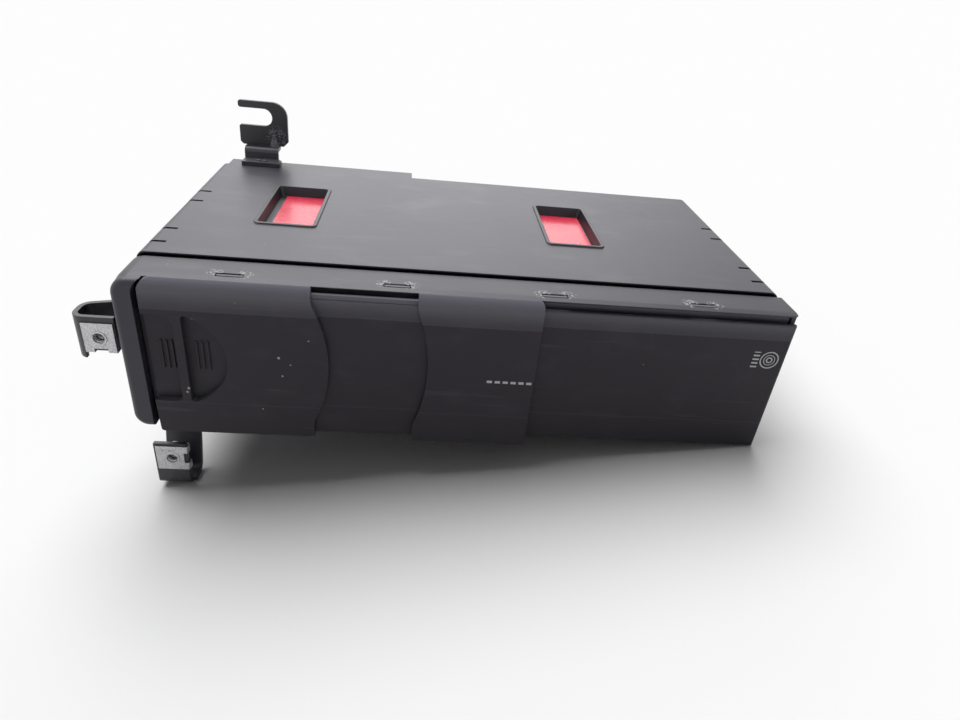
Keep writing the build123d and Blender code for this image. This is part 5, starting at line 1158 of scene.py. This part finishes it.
# The directions that the two suns shine from, and the rear one's width
KEY_FROM = (-0.32, 0.42, 1.0)
REAR_FROM = (0.0, 0.85, 0.6)
REAR_SPREAD = math.radians(46)


def hang_lights(stage):
    """Broad suns from overhead and from behind, and an even surround that shows as white."""
    suns = (
        ("key", stage.key_power, stage.key_spread, KEY_FROM),
        ("rear", stage.rear_power, REAR_SPREAD, REAR_FROM),
    )
    for name, power, spread, source in suns:
        lamp = bpy.data.lights.new(name, "SUN")
        lamp.energy = power
        lamp.angle = spread
        sun = stand(name, lamp)
        sun.rotation_euler = Vector(source).to_track_quat("Z", "Y").to_euler()
    world = bpy.data.worlds.new("surround")
    world.use_nodes = True
    bpy.context.scene.world = world
    w = Board(world.node_tree)
    w.tree.nodes.clear()
    path = w.add("ShaderNodeLightPath", output="Is Camera Ray")
    straight = path + path.also("Is Glossy Ray") + path.also("Is Transmission Ray")
    seen = w.maths("MINIMUM", straight, 1.0)
    white = {"Color": (1, 1, 1, 1)}
    even = w.add("ShaderNodeBackground", {}, {**white, "Strength": stage.ambient})
    bright = w.add("ShaderNodeBackground", {}, {**white, "Strength": 1.0})
    surround = w.add("ShaderNodeMixShader", {}, {0: seen, 1: even, 2: bright})
    w.add("ShaderNodeOutputWorld", {}, {"Surface": surround})


# The camera's place, in millimetres, and its directions, solved from the casing's corners
CAMERA_PLACE = (103.06, -239.0, 169.87)
CAMERA_RIGHT = (0.99341, -0.05915, 0.09816)
CAMERA_UP = (-0.05319, 0.52071, 0.85207)
CAMERA_BACK = (-0.10152, -0.85168, 0.51413)


def set_camera(stage):
    """The camera in front of the changer and above it, a little to its left."""
    view = bpy.data.cameras.new("camera")
    view.lens = stage.lens
    view.sensor_width = 36
    view.clip_start = 0.01
    view.clip_end = 100
    camera = stand("camera", view)
    turn = Matrix((CAMERA_RIGHT, CAMERA_UP, CAMERA_BACK)).transposed().to_4x4()
    camera.matrix_world = Matrix.Translation(place(*CAMERA_PLACE)) @ turn
    bpy.context.scene.camera = camera


class CHANGER_PT_panel(bpy.types.Panel):
    """Steps that dress the changer, with their sizes and colours"""

    bl_label = "Disc changer"
    bl_space_type = "VIEW_3D"
    bl_region_type = "UI"
    bl_category = "Changer"

    def draw(self, context):
        for step in STEPS:
            self.layout.operator(step.bl_idname)
        for group in (getattr(context.scene, name) for name in GROUPS):
            box = self.layout.box()
            for name in group.bl_rna.properties.keys():
                if name not in ("rna_type", "name"):
                    box.prop(group, name)


STEPS = (
    CHANGER_OT_casing, CHANGER_OT_front, CHANGER_OT_brackets, CHANGER_OT_threads,
    CHANGER_OT_rows, CHANGER_OT_inside, CHANGER_OT_stage,
)
GROUPS = {
    "changer_colours": ChangerColours, "changer_marks": ChangerMarks,
    "changer_fine": ChangerFine, "changer_stage": ChangerStage,
}


def register():
    """Registers the property groups, the operators and the panel."""
    for name, group in GROUPS.items():
        bpy.utils.register_class(group)
        setattr(bpy.types.Scene, name, PointerProperty(type=group))
    for step in STEPS:
        bpy.utils.register_class(step)
    bpy.utils.register_class(CHANGER_PT_panel)


def unregister():
    """Takes the panel, the operators and the property groups out again."""
    bpy.utils.unregister_class(CHANGER_PT_panel)
    for step in reversed(STEPS):
        bpy.utils.unregister_class(step)
    for name, group in GROUPS.items():
        delattr(bpy.types.Scene, name)
        bpy.utils.unregister_class(group)


def main():
    """Dresses the changer step by step."""
    register()
    for step in STEPS:
        family, name = step.bl_idname.split(".")
        getattr(getattr(bpy.ops, family), name)()


if __name__ == "__main__":
    main()
